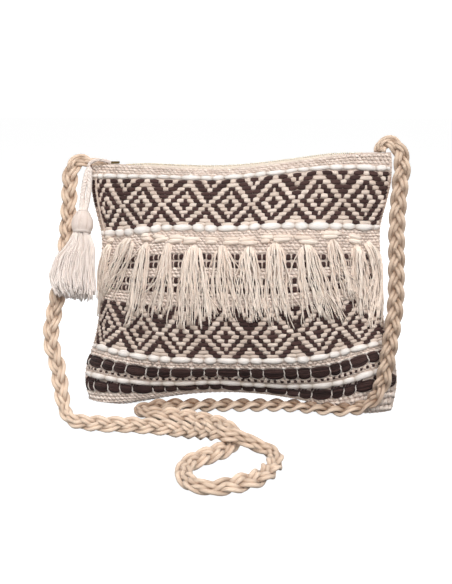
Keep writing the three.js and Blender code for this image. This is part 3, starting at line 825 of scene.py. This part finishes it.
def make_diamonds():
    tables = {True: [], False: []}
    for band, (top, step, edges) in enumerate(BANDS):
        left_limit = LEFT_LIMIT if band == 0 else -SIDE_LIMIT
        for row in BAND_ROWS:
            down = top + (row - BAND_ROWS[0] + 0.5) * step
            for dark, start, end in row_runs(edges, row):
                size = end - start
                most = MOST_DARK if dark else MOST_LIGHT
                parts = max(1, round(size / FLOAT_COLUMNS)) if size > most else 1
                level = start < 0 < end or end > COLUMNS / 2
                sloped = 0.0 if level else math.copysign(FLOAT_SLOPE, -start * (row + 0.5))
                for part in range(parts):
                    low = start + size * part / parts - FLOAT_OVERLAP
                    high = start + size * (part + 1) / parts + FLOAT_OVERLAP
                    for number in range(0, DIAMONDS + 2):
                        ends = chart_across(number + np.array([low, high]) / COLUMNS, down)
                        first = max(ends[0], left_limit)
                        last = min(ends[1], SIDE_LIMIT)
                        if last - first < LEAST_FLOAT:
                            continue
                        for face in FACES:
                            centre = (first + last) / 2
                            reach = (last - first) / 2
                            tables[dark].append((face, centre, down, reach, step, sloped))
    made = []
    for dark, name, material in ((True, "dark_floats", DARK), (False, "light_floats", CREAM)):
        face, across, down, reach, step, slope = np.array(tables[dark]).T
        count = len(face)
        moved = jitter(1, (4, count))
        rings = lens_rings(
            face, across + 0.002 * moved[0], down + 0.2 * moved[1], reach * (1 + 0.04 * moved[2]),
            ROW_OVERLAP * step * (1 + 0.06 * moved[3]), FLOAT_THICK, FLOAT_LIFT,
            slant=slope + jitter(0.25, count))
        shades = painted_relief(CLOTH_SHADE + jitter(0.2, count), FLOAT_SIDES, FLOAT_CROWN, lens=True)
        made.append(woven(name, material, rings, shades))
    return made


# Bulky rows: roving that swells between its ties

WHITE_ROWS = (
    # down, half height, thickness, how deep the ties pinch, how much paler
    (12.3, 2.7, 2.6, 0.5, 0),
    (69.2, 4.1, 3.4, 0.76, 0),
    (183.5, 3.6, 3.2, 0.76, -0.04),
    (212.4, 3.0, 2.4, 0.34, -0.06),
)
ROW_STATIONS = 680
ROW_SIDES = 8
ROW_SWELL = (0.86, 1.12)
ROW_EASE = 13
ROW_END = 0.55
ROW_END_REACH = 0.05
ROW_LIFT = 0.4
ROW_SHADE = 0.74
# Painted shade at the ties where the roving is pinched, and painted light on its outer side
ROW_CREASE = 0.7
ROW_CROWN = 0.2


def make_white_rows():
    skin = Skin()
    across = np.linspace(-SIDE_LIMIT, SIDE_LIMIT, ROW_STATIONS)
    turn = ring(ROW_SIDES, 0.5) - math.pi / 2
    fade = mix(ROW_END, 1, smooth((SIDE_LIMIT - np.abs(across)) / ROW_END_REACH))
    for down, rise, thick, pinch, paler in WHITE_ROWS:
        ties = tie_places(down)
        lump = np.searchsorted(ties, across)
        left = np.concatenate([[-1.0], ties])[lump]
        right = np.concatenate([ties, [1.0]])[lump]
        share = np.clip((across - left) / (right - left), 0, 1)
        pinched = 1 - (4 * share * (1 - share)) ** 0.5
        wander = 0.2 * np.sin(across * 31 + down) + 0.15 * np.sin(across * 67 + 2 * down)
        # Painted shade at the ties, and painted light on the outer side of the roving
        shades = painted_relief((ROW_SHADE + paler - ROW_CREASE * pinched)[None], ROW_SIDES, ROW_CROWN, lens=True)
        for face in FACES:
            swell = averaged(scatter(*ROW_SWELL, len(ties) + 1)[lump], ROW_EASE)
            plump = ((1 - pinch * pinched) * swell * fade)[:, None]
            fall = (down + wander)[:, None] + rise * plump * np.cos(turn)
            rings = on_weave(across[:, None], fall, face, ROW_LIFT + thick * plump * np.sin(turn))[None]
            skin.tubes(rings[:, :, ::-1] if face < 0 else rings, shades)
    return skin.piece("white_roving_rows", WHITE)


DARK_ROWS = (
    # down, half height
    (198.1, 5.4),
    (219.8, 4.0),
)
ROW_STRANDS = 6
ROW_THICK = 2.7
ROW_NARROW = 0.36
ROW_SPREAD = 0.86
DARK_LIFT = 0.2
DARK_SHADE = 0.42
CORE_SHADE = 0.2
STRAND_HALF = 1.15
STATIONS = 11
TICK_RADIUS = 0.55
TICK_LIFT = 0.9
TICK_ARCH = 2.0
PEAK_RISE = 0.4
SPIKES = (0.0, 0.018, 0.036)


def make_dark_rows():
    skin = Skin()
    threads = Skin()
    u = np.linspace(-1, 1, STATIONS)
    narrow = ROW_NARROW + (1 - ROW_NARROW) * (1 - np.abs(u) ** 2.4) ** 0.8
    arch = np.sin(np.linspace(0, math.pi, STATIONS))
    for number, (middle, half) in enumerate(DARK_ROWS):
        inner = tie_places(middle)
        ties = np.concatenate([[-SIDE_LIMIT], inner, [SIDE_LIMIT]])
        centre = (ties[1:] + ties[:-1]) / 2
        reach = (ties[1:] - ties[:-1]) / 2
        top = middle - half - PEAK_RISE
        for face in FACES:
            core = lens_rings(
                face, centre, middle, reach, 0.72 * half, 0.9 * ROW_THICK, DARK_LIFT,
                stations=9, sides=10, tip=0.55, blunt=2.6)
            skin.tubes(core, CORE_SHADE)
            a = centre[:, None] + reach[:, None] * u
            for strand in range(ROW_STRANDS):
                far = mix(-ROW_SPREAD, ROW_SPREAD, strand / (ROW_STRANDS - 1))
                bend = jitter(0.25, len(centre))[:, None]
                down = middle + half * far * narrow + bend * (1 - u ** 2)
                crown = ROW_THICK * math.sqrt(1 - 0.8 * far * far)
                line = on_weave(a, down, face, DARK_LIFT + crown * (0.3 + 0.7 * narrow ** 2))
                radius = STRAND_HALF * mix(0.75, 1, narrow)
                rings = rings_along(line, radius, 5, outward_at(a, down, face), flat=0.8)
                skin.tubes(rings, DARK_SHADE + jitter(0.34, len(centre)))
            count = len(inner)
            down = np.linspace(middle - 0.6 * half, middle + half + 0.6, STATIONS)
            a = inner[:, None] + 0.0015 * np.sin(down * 1.7 + inner[:, None] * 40)
            line = on_weave(a, down, face, TICK_LIFT + TICK_ARCH * arch)
            normal = outward_at(a, np.broadcast_to(down, a.shape), face)
            threads.tubes(rings_along(line, TICK_RADIUS, 6, normal), 0.55 + jitter(0.1, count))
            if number == 0:
                peak = lens_rings(face, inner, top, 0.013, 1.3, 1.3, 0.9, tip=0.3)
                threads.tubes(peak, 0.5 + jitter(0.1, count))
                continue
            for apart in SPIKES:
                up = top + jitter(0.5, count)
                spike = lens_rings(face, inner + apart, up, 0.008, 1.2, 2.2, 1.2, tip=0.4, slant=-0.8)
                skin.tubes(spike, 0.4 + jitter(0.1, count))
    made = skin.piece("dark_roving_rows", DARK)
    return made, threads.piece("tie_threads", WHITE)


CHECK_ROWS = (
    # down, half height, half width in columns, checks to a repeat, how wide the ground's yarn is between them
    (97.0, 2.4, 0.68, 8, 0.3),
    (103.2, 2.4, 0.68, 8, 0.3),
    (115.8, 2.4, 0.68, 8, 0.3),
    (122.6, 2.4, 0.68, 8, 0.3),
    (206.3, 1.5, 0.46, 7, 1.1),
)


CHECK_LIMIT = 0.965
CHECK_SIDES = 6
CHECK_SHADE = 0.46


def make_checks():
    dark = []
    light = []
    for down, rise, wide, count, ground in CHECK_ROWS:
        for k in range(count * (DIAMONDS + 2)):
            for shift, share, table in ((0.0, 1.0, dark), (0.5, ground, light)):
                place = float(chart_across((k + shift) / count, down))
                if abs(place) > CHECK_LIMIT:
                    continue
                for face in FACES:
                    table.append((face, place, down, share * wide * CHART_REPEAT / COLUMNS, rise))
    made = []
    for table, name, material in ((dark, "check_rows", DARK), (light, "check_grounds", CREAM)):
        face, across, down, reach, rise = np.array(table).T
        count = len(face)
        rings = lens_rings(
            face, across + jitter(0.001, count), down + jitter(0.2, count), reach, rise, 1.6, 0.4,
            sides=CHECK_SIDES, tip=0.5, blunt=3.4)
        shades = painted_relief(CHECK_SHADE + jitter(0.2, count), CHECK_SIDES, FLOAT_CROWN, lens=True)
        made.append(woven(name, material, rings, shades))
    return made


# Plain weave: a seed of yarn for each crossing in the natural ground

PLAIN_ZONES = (
    (0.9, 9.2),
    (72.6, 94.4),
    (105.6, 113.4),
    (118.2, 120.2),
    (125.0, 136.0),
    (186.8, 193.0),
    (203.2, 209.4),
    (224.4, 245.0),
)
SEED_PITCH = 4.2
SEED_ROW = 2.6
SEED_RISE = 1.35
SEED_SIDES = 5
SEED_SHADE = 0.55
# Painted light on the seeds' outer side and painted shade in their creases
SEED_CROWN = 0.26
MEAN_HALF = 140


def make_ground():
    rows = []
    pitch = SEED_PITCH / MEAN_HALF
    for start, end in PLAIN_ZONES:
        lines = max(1, round((end - start) / SEED_ROW))
        for line in range(lines):
            down = start + (line + 0.5) * (end - start) / lines
            for k in range(int(2 * SIDE_LIMIT / pitch) + 1):
                place = -SIDE_LIMIT + (k + 0.5 * (line % 2)) * pitch
                if place > SIDE_LIMIT:
                    continue
                for face in FACES:
                    rows.append((face, place, down))
    face, across, down = np.array(rows).T
    count = len(face)
    rings = lens_rings(
        face, across + jitter(0.0016, count), down + jitter(0.15, count),
        0.5 * pitch * scatter(0.85, 1.15, count), SEED_RISE * scatter(0.9, 1.12, count), 1.4, 0.1,
        stations=4, sides=SEED_SIDES, tip=0.35, slant=scatter(0.2, 0.7, count))
    shades = painted_relief(SEED_SHADE + jitter(0.28, count), SEED_SIDES, SEED_CROWN, lens=True)
    return woven("ground_weave", GROUND, rings, shades)


# Fringe: loose strands in tufts, under a header of plump floats

TUFTS = (
    # at, top, where it ends, drop, half width at the top and at the ends, strands, bow to the right
    (-0.92, 76, -1.02, 68, 4, 6, 22, 0),
    (-0.755, 71, -0.945, 56, 9, 9.5, 40, 0),
    (-0.60, 76.5, -0.67, 72, 4.5, 10, 34, 0),
    (-0.43, 79, -0.475, 64, 4.5, 9.5, 32, 0),
    (-0.255, 84.5, -0.24, 64, 8, 15, 42, 0),
    (-0.07, 86, -0.025, 59, 6, 13, 36, 0),
    (0.10, 88.5, 0.145, 57, 6.5, 9, 32, 0),
    (0.265, 86, 0.30, 65, 7, 9, 34, 0),
    (0.47, 87, 0.575, 62, 8, 17, 42, 0),
    (0.645, 81.5, 0.74, 60, 6, 9, 32, 0),
    (0.815, 85, 0.845, 72, 6, 8, 30, 0),
    (0.90, 82, 0.92, 80, 6, 9, 38, 8),
)
HEADERS = (
    # at, half width in millimetres
    (-0.92, 4), (-0.60, 4.5), (-0.49, 6), (-0.38, 7), (-0.27, 7), (-0.15, 6), (-0.03, 7), (0.10, 7),
    (0.20, 5), (0.31, 8), (0.46, 8), (0.64, 9), (0.80, 6),
)
FRINGE_HALF = 133.0
STRAND_RADIUS = 0.64
STRAND_STATIONS = 25
STRAND_SIDES = 5
STRAND_FACING = (0.0, -1.0, 0.15)
# Strands' shade, with painted light on each strand's outer side, toward the ends and on the left tufts
STRAND_SHADE = 0.36
STRAND_CROWN = 0.22
END_PALER = 0.16
LEFT_PALER = 0.5
HEADER_ABOVE = 6.0
HEADER_STEP = 3.4
STRAND_SHARE = 0.86
CLUMPS = 7
STRAYS = 5
WIDENING = (0, 0.1, 0.35, 1)
TUFT_ROUND = 5.0
TUFT_OUT = 1.0
TUFT_LEAST = 0.8
TUFT_DEEP = 4.2
# Painted shade on strands that lie deep in a tuft and toward its sides
DEEP_SHADE = 0.42
# How clumps, strands and strays vary: from low to high, or to both sides
CLUMP_PLACE = 0.12
CLUMP_WAVE = 3.2
CLUMP_SPEED = (0.5, 1.2)
CLUMP_LENGTH = (0.82, 1.03)
STRAND_LENGTH = (0.9, 1.06)
STRAND_WAVE = (0.25, 0.75)
STRAND_SPEED = (1.6, 3.6)
STRAND_CURL = 2.4
STRAND_WIDTH = (0.8, 1.15)
STRAND_VARIES = (-0.1, 0.16)
STRAY_LENGTH = (0.6, 0.95)
STRAY_SWING = 12
STRAY_BOW = 7
STRAY_OUT = 2.2


def make_fringe():
    lines = []
    shades = []
    t = np.linspace(0, 1, STRAND_STATIONS)
    for at, tuft_top, end, drop, top_half, end_half, strands, bow in TUFTS:
        places = np.linspace(-0.9, 0.9, CLUMPS) + jitter(CLUMP_PLACE, CLUMPS)
        amounts = jitter(CLUMP_WAVE, CLUMPS)
        speeds = scatter(*CLUMP_SPEED, CLUMPS)
        starts = scatter(0, 1, CLUMPS)
        lengths = scatter(*CLUMP_LENGTH, CLUMPS)
        widths = np.interp(t, WIDENING, (0.8 * top_half, top_half, mix(top_half, end_half, 0.35), end_half))
        kept = round(STRAND_SHARE * strands)
        free = 1 - 0.9 * smooth((abs(at) - 0.7) / 0.12)
        for k in range(kept + STRAYS):
            stray = k >= kept
            clump = k % CLUMPS
            side = np.clip(places[clump] + rng.normal(0, 0.1), -1.1, 1.1)
            layer = scatter(0, 1)
            length = drop * lengths[clump] * scatter(*(STRAY_LENGTH if stray else STRAND_LENGTH))
            swing = (end - at) * FRINGE_HALF + (free * jitter(STRAY_SWING) if stray else rng.normal(0, 1.0))
            fine = scatter(*STRAND_WAVE) * wavy(t, scatter(*STRAND_SPEED), scatter(0, 1))
            wave = amounts[clump] * wavy(t, speeds[clump], starts[clump]) * t * (1.2 - 0.5 * t)
            curl = jitter(STRAND_CURL) * t**3
            sway = swing * t**1.25 + side * widths + wave + fine * smooth(t / 0.3) + curl
            sway = sway + (bow + (free * jitter(STRAY_BOW) if stray else 0)) * np.sin(math.pi * t)
            down = tuft_top + TUFT_ROUND * min(1, side * side) * (1 - 0.4 * t) + t * length
            rounded = math.sqrt(max(0.05, 1 - 0.85 * side * side))
            bulge = smooth(t / 0.1) * (1 - 0.4 * smooth((t - 0.3) / 0.7))
            out = TUFT_OUT + (TUFT_LEAST + TUFT_DEEP * layer * rounded) * bulge + 0.6 * np.abs(fine) * t
            if stray:
                out = out + STRAY_OUT * t
            across = np.clip(at + sway / FRINGE_HALF, -SIDE_LIMIT, SIDE_LIMIT)
            lines.append(on_cloth(across, down, -1.0, out))
            # Painted shade deep in the tuft and at its sides, and painted light on the left tufts
            shade = STRAND_SHADE + DEEP_SHADE * layer * rounded + scatter(*STRAND_VARIES)
            shades.append(shade + LEFT_PALER * max(0, -0.5 - at))
    lines = np.stack(lines)
    taper = np.linspace(1, 0.8, STRAND_STATIONS) * scatter(*STRAND_WIDTH, len(lines))[:, None]
    rings = rings_along(lines, STRAND_RADIUS * taper, STRAND_SIDES, STRAND_FACING)
    skin = Skin()
    # Painted light toward the strands' ends and on each strand's outer side
    skin.tubes(rings, painted_relief(np.array(shades)[:, None] + END_PALER * t, STRAND_SIDES, STRAND_CROWN))
    at, half = np.repeat(np.array(HEADERS), 2, axis=0).T
    count = len(at)
    row = HEADER_ABOVE - HEADER_STEP * (np.arange(count) % 2)
    top = np.interp(at, [tuft[0] for tuft in TUFTS], [tuft[1] for tuft in TUFTS]) - row
    header = lens_rings(
        -1.0, at + jitter(0.02, count), top - sunk_at(at, top) + jitter(0.5, count),
        half / FRINGE_HALF * scatter(0.75, 1.1, count), 2.6, 3.2, 0.8, tip=0.62, blunt=3.2,
        slant=jitter(1.0, count))
    skin.tubes(header, painted_relief(0.58 + jitter(0.16, count), FLOAT_SIDES, 0.2, lens=True))
    made = skin.piece("fringe_strands", TUFT)
    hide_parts("fringe")
    return made


# Tassel on the zip pull

TASSEL_PULL = np.array([-139.0, -11.0, 228.0])
TASSEL_HEAD = np.array([-141.8, -25.0, 190.0])
TASSEL_NECK = np.array([-141.8, -32.0, 170.0])
TASSEL_SKIRT = np.array([-145.0, -44.5, 142.0])
TASSEL_ENDS = np.array([-147.0, -56.0, 116.0])
HEAD_PROFILE = ((0.0, 4.4), (0.12, 6.2), (0.36, 8.7), (0.58, 9.6), (0.76, 9.0), (0.9, 7.4))
SKIRT_REACH = (0, 0.2, 0.4, 0.68, 0.87, 1.04)
SKIRT_HALF = (7.5, 13, 18, 20.5, 18.5, 15)
SKIRT_LEAN = (0, 1, -1.5, -1, 2, 4.5)
HEAD_SIDES = 14
HEAD_STRANDS = 56
SKIRT_STRANDS = 330
SKIRT_CLUMPS = 34
SKIRT_STATIONS = 14
SKIRT_DEPTH = (6.4, 10.5)
SKIRT_LENGTH = (0.86, 1.04)
SKIRT_BEND = 3.6
SKIRT_WAVE = (0.2, 0.7)
SKIRT_SPEED = (0.9, 2.0)
SKIRT_CURL = 1.5
SKIRT_WIDTH = (0.8, 1.2)
SKIRT_SHADE = 0.56
HEAD_SHADE = 0.25
TASSEL_STRAND = 0.62
LOOP_PLIES = 3
LOOP_HALF = 2.7
WRAP_RADIUS = 7.9
WRAP_TURNS = 4.2
WRAP_ABOVE = 3.0
WRAP_HALF = 1.7
WRAP_YARN = 0.55
PULL_CORD = [
    (-139.0, -11.0, 228.0), (-138.5, -10.9, 232.0), (-131.0, -8.8, 236.3), (-125.5, -5.2, 235.2),
    (-120.3, -1.9, 233.3),
]


def crosswise(axis):
    """Directions square to an axis, to the right and to the front."""
    side = square_to(np.array([1.0, 0, 0]), axis)
    return side, np.cross(side, axis)


def plied(line, wide, radius, turns, way):
    """Cord of several plies twisted along a line."""
    share = np.linspace(0, 1, len(line))
    tangent = unit(np.gradient(line, axis=0))
    side = unit(np.cross(tangent, (0.0, -1.0, 0.1)))
    other = np.cross(side, tangent)
    spins = [TURN * (turns * share + ply / LOOP_PLIES) * way for ply in range(LOOP_PLIES)]
    plies = np.stack([line + wide * turned(spin, side, other) for spin in spins])
    return rings_along(plies, radius, 6, (0.0, -1.0, 0.05))


def make_tassel():
    skin = Skin()
    along = unit(TASSEL_NECK - TASSEL_HEAD)
    side, front = crosswise(along)
    shares = np.linspace(0, 0.98, 12)
    half = np.interp(shares, *zip(*HEAD_PROFILE))[:, None]
    core = mix(TASSEL_HEAD, TASSEL_NECK, shares[:, None])
    turn = ring(HEAD_SIDES)
    skin.tubes((core[:, None] + 0.86 * half[:, None] * turned(turn, front, side))[None], 0.35)
    turn = ring(HEAD_STRANDS) + jitter(0.03, HEAD_STRANDS)
    lines = core + half * turned(turn[:, None] + 0.25 * (shares - 0.5), front, side)
    head = rings_along(lines, TASSEL_STRAND, 6, (0.3, -1.0, 0.4))
    skin.tubes(head, HEAD_SHADE + jitter(0.2, HEAD_STRANDS))
    t = np.linspace(0, 1, SKIRT_STATIONS)
    lines = []
    shades = []
    across, deep = crosswise(unit(TASSEL_ENDS - TASSEL_NECK))
    turns = scatter(0, TURN, SKIRT_CLUMPS)
    fars = np.sqrt(scatter(0.05, 1, SKIRT_CLUMPS))
    bends = jitter(SKIRT_BEND, SKIRT_CLUMPS)
    starts = scatter(0, 1, SKIRT_CLUMPS)
    for k in range(SKIRT_STRANDS):
        clump = k % SKIRT_CLUMPS
        turn = turns[clump] + rng.normal(0, 0.45)
        far = np.clip(fars[clump] + rng.normal(0, 0.14), 0.05, 1.02)
        reach = np.minimum(t * scatter(*SKIRT_LENGTH), SKIRT_LENGTH[1])
        bend = 2 * reach * (1 - reach)
        spine = ((1 - reach)**2)[:, None] * TASSEL_NECK + bend[:, None] * TASSEL_SKIRT
        spine = spine + (reach**2)[:, None] * TASSEL_ENDS
        wide = np.interp(reach, SKIRT_REACH, SKIRT_HALF) * far
        thick = mix(*SKIRT_DEPTH, smooth(reach * 1.2)) * far
        waves = scatter(*SKIRT_WAVE) * wavy(t, scatter(*SKIRT_SPEED), scatter(0, 1)) * t
        waves = waves + bends[clump] * wavy(t, 0.9, starts[clump]) * t * (1.3 - 0.6 * t)
        curl = rng.normal(0, SKIRT_CURL) * t**3
        sideways = wide * math.cos(turn) + waves + curl + np.interp(reach, SKIRT_REACH, SKIRT_LEAN)
        lines.append(spine + across * sideways[:, None] + deep * (thick * math.sin(turn) - waves)[:, None])
        # Painted light and shade: outer strands are paler on one side of the skirt and deeper on the other
        shades.append(SKIRT_SHADE + 0.12 * far * math.sin(turn) + jitter(0.16))
    taper = scatter(*SKIRT_WIDTH, SKIRT_STRANDS)[:, None] * np.linspace(1, 0.8, SKIRT_STATIONS)
    skirt = rings_along(np.stack(lines), TASSEL_STRAND * taper, STRAND_SIDES, (0.2, -1.0, 0.1))
    # Painted light toward the strands' ends and on each strand's outer side
    skin.tubes(skirt, painted_relief(np.array(shades)[:, None] + 0.35 * t**2, STRAND_SIDES, 0.1))
    root = TASSEL_HEAD - np.array([0, 0, 1.5])
    t = np.linspace(0, 1, 40)
    for way in (-1, 1):
        line = mix(root, TASSEL_PULL, t[:, None])
        line[:, 0] += LOOP_HALF * np.sin(math.pi * np.clip(t * 0.93 + 0.07, 0, 1)) ** 0.6 * way
        skin.tubes(plied(line, 1.25, 1.4, 4.5, way), 0.6 + jitter(0.1, LOOP_PLIES))
    line = through(PULL_CORD, 0.8)[0]
    skin.tubes(plied(line, 0.8, 1.0, 2.2, 1), 0.3 + jitter(0.1, LOOP_PLIES))
    made = skin.piece("tassel_strands", TASSEL)
    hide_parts("tassel")
    t = np.linspace(0, 1, 120)
    middle = TASSEL_NECK - along * (WRAP_ABOVE + WRAP_HALF - 2 * WRAP_HALF * t)[:, None]
    line = middle + WRAP_RADIUS * turned(TURN * WRAP_TURNS * t, front, side)
    wraps = Skin()
    wraps.tubes(rings_along(line[None], WRAP_YARN, 6, along), 0.6)
    wrap = wraps.piece("tassel_wrap_yarn", TASSEL)
    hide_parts("tassel_wrap")


# Zip: woven tape and single teeth; the slider's solid stays

ZIP_REACH = 0.86
ZIP_CLEAR = 0.4
ZIP_LEAST_HALF = 0.9
ZIP_TAPER = 0.3
ZIP_CROWN = 2.2
TOOTH_PITCH = 1.9
ZIP_HALF = 132
TAPE_THICK = 0.9
TAPE_SHADE = 0.55
TOOTH_SIDES = 8
TOOTH_REACH = 1.7
# Along a tooth from end to end: place, and share of its full size
TOOTH_FORM = ((-1, 0.5), (-0.75, 1), (0, 0.8), (0.75, 1), (1, 0.5))


def mouth_at(across):
    inside = inner_point(across, 1.0, 1.0)
    return inside[..., 0], np.maximum(ZIP_LEAST_HALF, inside[..., 1] - ZIP_CLEAR), inside[..., 2]


def tape_top(across):
    return mouth_at(across)[2] + ZIP_CROWN * smooth((ZIP_REACH - np.abs(across)) / ZIP_TAPER)


def make_zip():
    across = np.linspace(-ZIP_REACH, ZIP_REACH, 160)
    x, half, z = mouth_at(across)
    top = tape_top(across)
    share = np.linspace(-1, 1, 21)
    crown = np.clip((1 - np.abs(share)) / 0.55, 0, 1) ** 0.8
    ridge = 0.12 * np.cos(share * 34)
    skin = Skin()
    edge = (z - 0.6)[:, None]
    y = half[:, None] * share
    height = edge + (top[:, None] - edge) * crown + ridge
    points = np.stack(np.broadcast_arrays(x[:, None], y, height), axis=-1)
    places = points[..., :2]
    under = points - [0, 0, TAPE_THICK]
    skin.grid(points, places, TAPE_SHADE)
    skin.grid(under, places, TAPE_SHADE, flip=True)
    for border, flip in ((np.s_[0], False), (np.s_[-1], True), (np.s_[:, 0], True), (np.s_[:, -1], False)):
        rim = np.stack([under[border], points[border]])
        skin.grid(rim, np.stack([places[border]] * 2), TAPE_SHADE, flip=flip)
    tape = skin.piece("zip_tape_cloth", TAPE)
    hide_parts("zip_tape")
    place = np.arange(-0.77 * ZIP_HALF, 0.83 * ZIP_HALF, TOOTH_PITCH) / ZIP_HALF
    x, half, _ = mouth_at(place)
    low = tape_top(place) + 0.15
    side = np.where(np.arange(len(place)) % 2, 1.0, -1.0)
    reach = np.minimum(TOOTH_REACH, 0.5 * half)[:, None, None]
    u, fat = np.array(TOOTH_FORM).T[..., None]
    turn = ring(TOOTH_SIDES, 0.5)
    y = side[:, None, None] * 0.35 * reach + reach * 0.95 * u
    xs = x[:, None, None] + 0.72 * fat * np.cos(turn)
    zs = (low + 0.6)[:, None, None] + 0.62 * fat * np.sin(turn)
    teeth = Skin()
    teeth.tubes(np.stack(np.broadcast_arrays(xs, y, zs), axis=-1), 0.5)
    made = teeth.piece("zip_teeth_row", MOULDED)
    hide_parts("zip_teeth")


# Side seams, whipped over with thread, and the left seam's roll with the weave's last floats beside it

ROLL_AT = -0.957
FLANGE_AT = -0.981
FLANGE_FLOATS = (18, 22.3, 26.6, 30.9, 35.2, 39.5)
STITCH_PITCH = 4.6
STITCH_RUN = 2.6
STITCH_RADIUS = 0.42
# Round the seam's edge: share of the run, across, face, how proud of the cloth
STITCH_FORM = (
    (0.0, 0.978, -1.0, 0.2), (0.35, 0.997, -1.0, 0.75), (0.65, 0.997, 1.0, 0.75), (1.0, 0.978, 1.0, 0.2),
)


def make_seams():
    skin = Skin()
    down = np.arange(3, 230, STITCH_PITCH)
    for end in (-1.0, 1.0):
        stations = [
            on_cloth(end * across, down + STITCH_RUN * share, face, proud)
            for share, across, face, proud in STITCH_FORM
        ]
        line = np.stack(stations, axis=1)
        fine = np.linspace(0, 3, 10)
        low = np.clip(fine.astype(int), 0, 2)
        part = (fine - low)[None, :, None]
        line = line[:, low] * (1 - part) + line[:, low + 1] * part
        rings = rings_along(line, STITCH_RADIUS, 6, (end, 0.0, 0.2))
        skin.tubes(rings, 0.6 + jitter(0.15, len(down)))
    down = np.linspace(14, 70, 60)
    for face in FACES:
        line = on_cloth(ROLL_AT + 0.0012 * np.sin(1.3 * down), down, face, 0.7)[None]
        skin.tubes(rings_along(line, 1.0, 8, (0.0, face, 0.0)), CLOTH_SHADE)
    stitches = skin.piece("seam_stitches", CREAM)
    count = len(FLANGE_FLOATS)
    rings = lens_rings(-1.0, FLANGE_AT, FLANGE_FLOATS, 0.016, 2.2, 1.1, 0.3, slant=jitter(0.3, count))
    return stitches, woven("flange_floats", DARK, rings, 0.5 + jitter(0.2, count))


# Stage

ROOM = 12.0
ROOM_LOW = -0.0004
FLOOR_BASE = 0.25
FLOOR_GLOW = 0.98
WALL_GLOW = 1.1
SKY_LOW = 0.54
SKY_HIGH = 1.1
SKY_SPAN = 0.6
LAMP_TARGET = (0, 0, 0.12)
LAMPS = (
    # name, place, power, size
    ("key", (0.25, -1.4, 1.6), 37.0, 1.3),
    ("fill", (0.4, -1.85, 0.6), 14.0, 1.2),
    ("back", (0.4, 1.7, 1.2), 36.0, 1.4),
    ("right", (1.7, 0.5, 0.8), 9.0, 1.2),
    ("left", (-1.7, 0.1, 0.7), 14.0, 1.2),
)


def glowing(name, base, glow):
    material, tree, shader = new_material(name)
    sockets = {
        "Base Color": (base, base, base, 1), "Roughness": 1.0, "Specular IOR Level": 0.0,
        "Emission Color": (1, 1, 1, 1), "Emission Strength": glow,
    }
    join(tree, shader, sockets)
    return material


def make_stage():
    scene = bpy.context.scene
    mesh = bpy.data.meshes.new("room")
    square = ((-ROOM, -ROOM), (ROOM, -ROOM), (ROOM, ROOM), (-ROOM, ROOM))
    corners = [(x, y, z) for z in (0, ROOM) for x, y in square]
    sides = [(0, 1, 2, 3), (7, 6, 5, 4), (0, 4, 5, 1), (1, 5, 6, 2), (2, 6, 7, 3), (3, 7, 4, 0)]
    mesh.from_pydata(corners, [], sides)
    room = placed("room", mesh, (0, 0, ROOM_LOW))
    room.visible_diffuse = False
    room.visible_glossy = False
    room.visible_shadow = False
    mesh.materials.append(glowing("white_floor", FLOOR_BASE, FLOOR_GLOW))
    mesh.materials.append(glowing("white_wall", 0.0, WALL_GLOW))
    mesh.polygons.foreach_set("material_index", [0, 1, 1, 1, 1, 1])
    world = bpy.data.worlds.new("studio")
    scene.world = world
    world.use_nodes = True
    tree = world.node_tree
    spot = node(tree, "ShaderNodeTexCoord", {})
    parts = node(tree, "ShaderNodeSeparateXYZ", {"Vector": spot.outputs["Generated"]})
    sockets = {
        "Value": parts.outputs["Z"], "From Min": -SKY_SPAN, "From Max": SKY_SPAN,
        "To Min": SKY_LOW, "To Max": SKY_HIGH,
    }
    rise = node(tree, "ShaderNodeMapRange", sockets)
    join(tree, tree.nodes["Background"], {"Strength": rise.outputs["Result"]})
    for name, place, power, width in LAMPS:
        data = bpy.data.lights.new(name, "AREA")
        data.energy = power
        data.size = width
        placed(name, data, place, Vector(LAMP_TARGET) - Vector(place))
    scene.view_settings.view_transform = "Standard"
    scene.view_settings.look = "None"


make_camera()
make_strap()
cloth = make_cloth()
floats = make_diamonds()
white_rows = make_white_rows()
dark_rows = make_dark_rows()
checks = make_checks()
ground = make_ground()
fringe = make_fringe()
make_tassel()
make_zip()
seams = make_seams()
make_stage()

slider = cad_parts["zip_slider"]
slider.data.materials.clear()
slider.data.materials.append(BRASS)
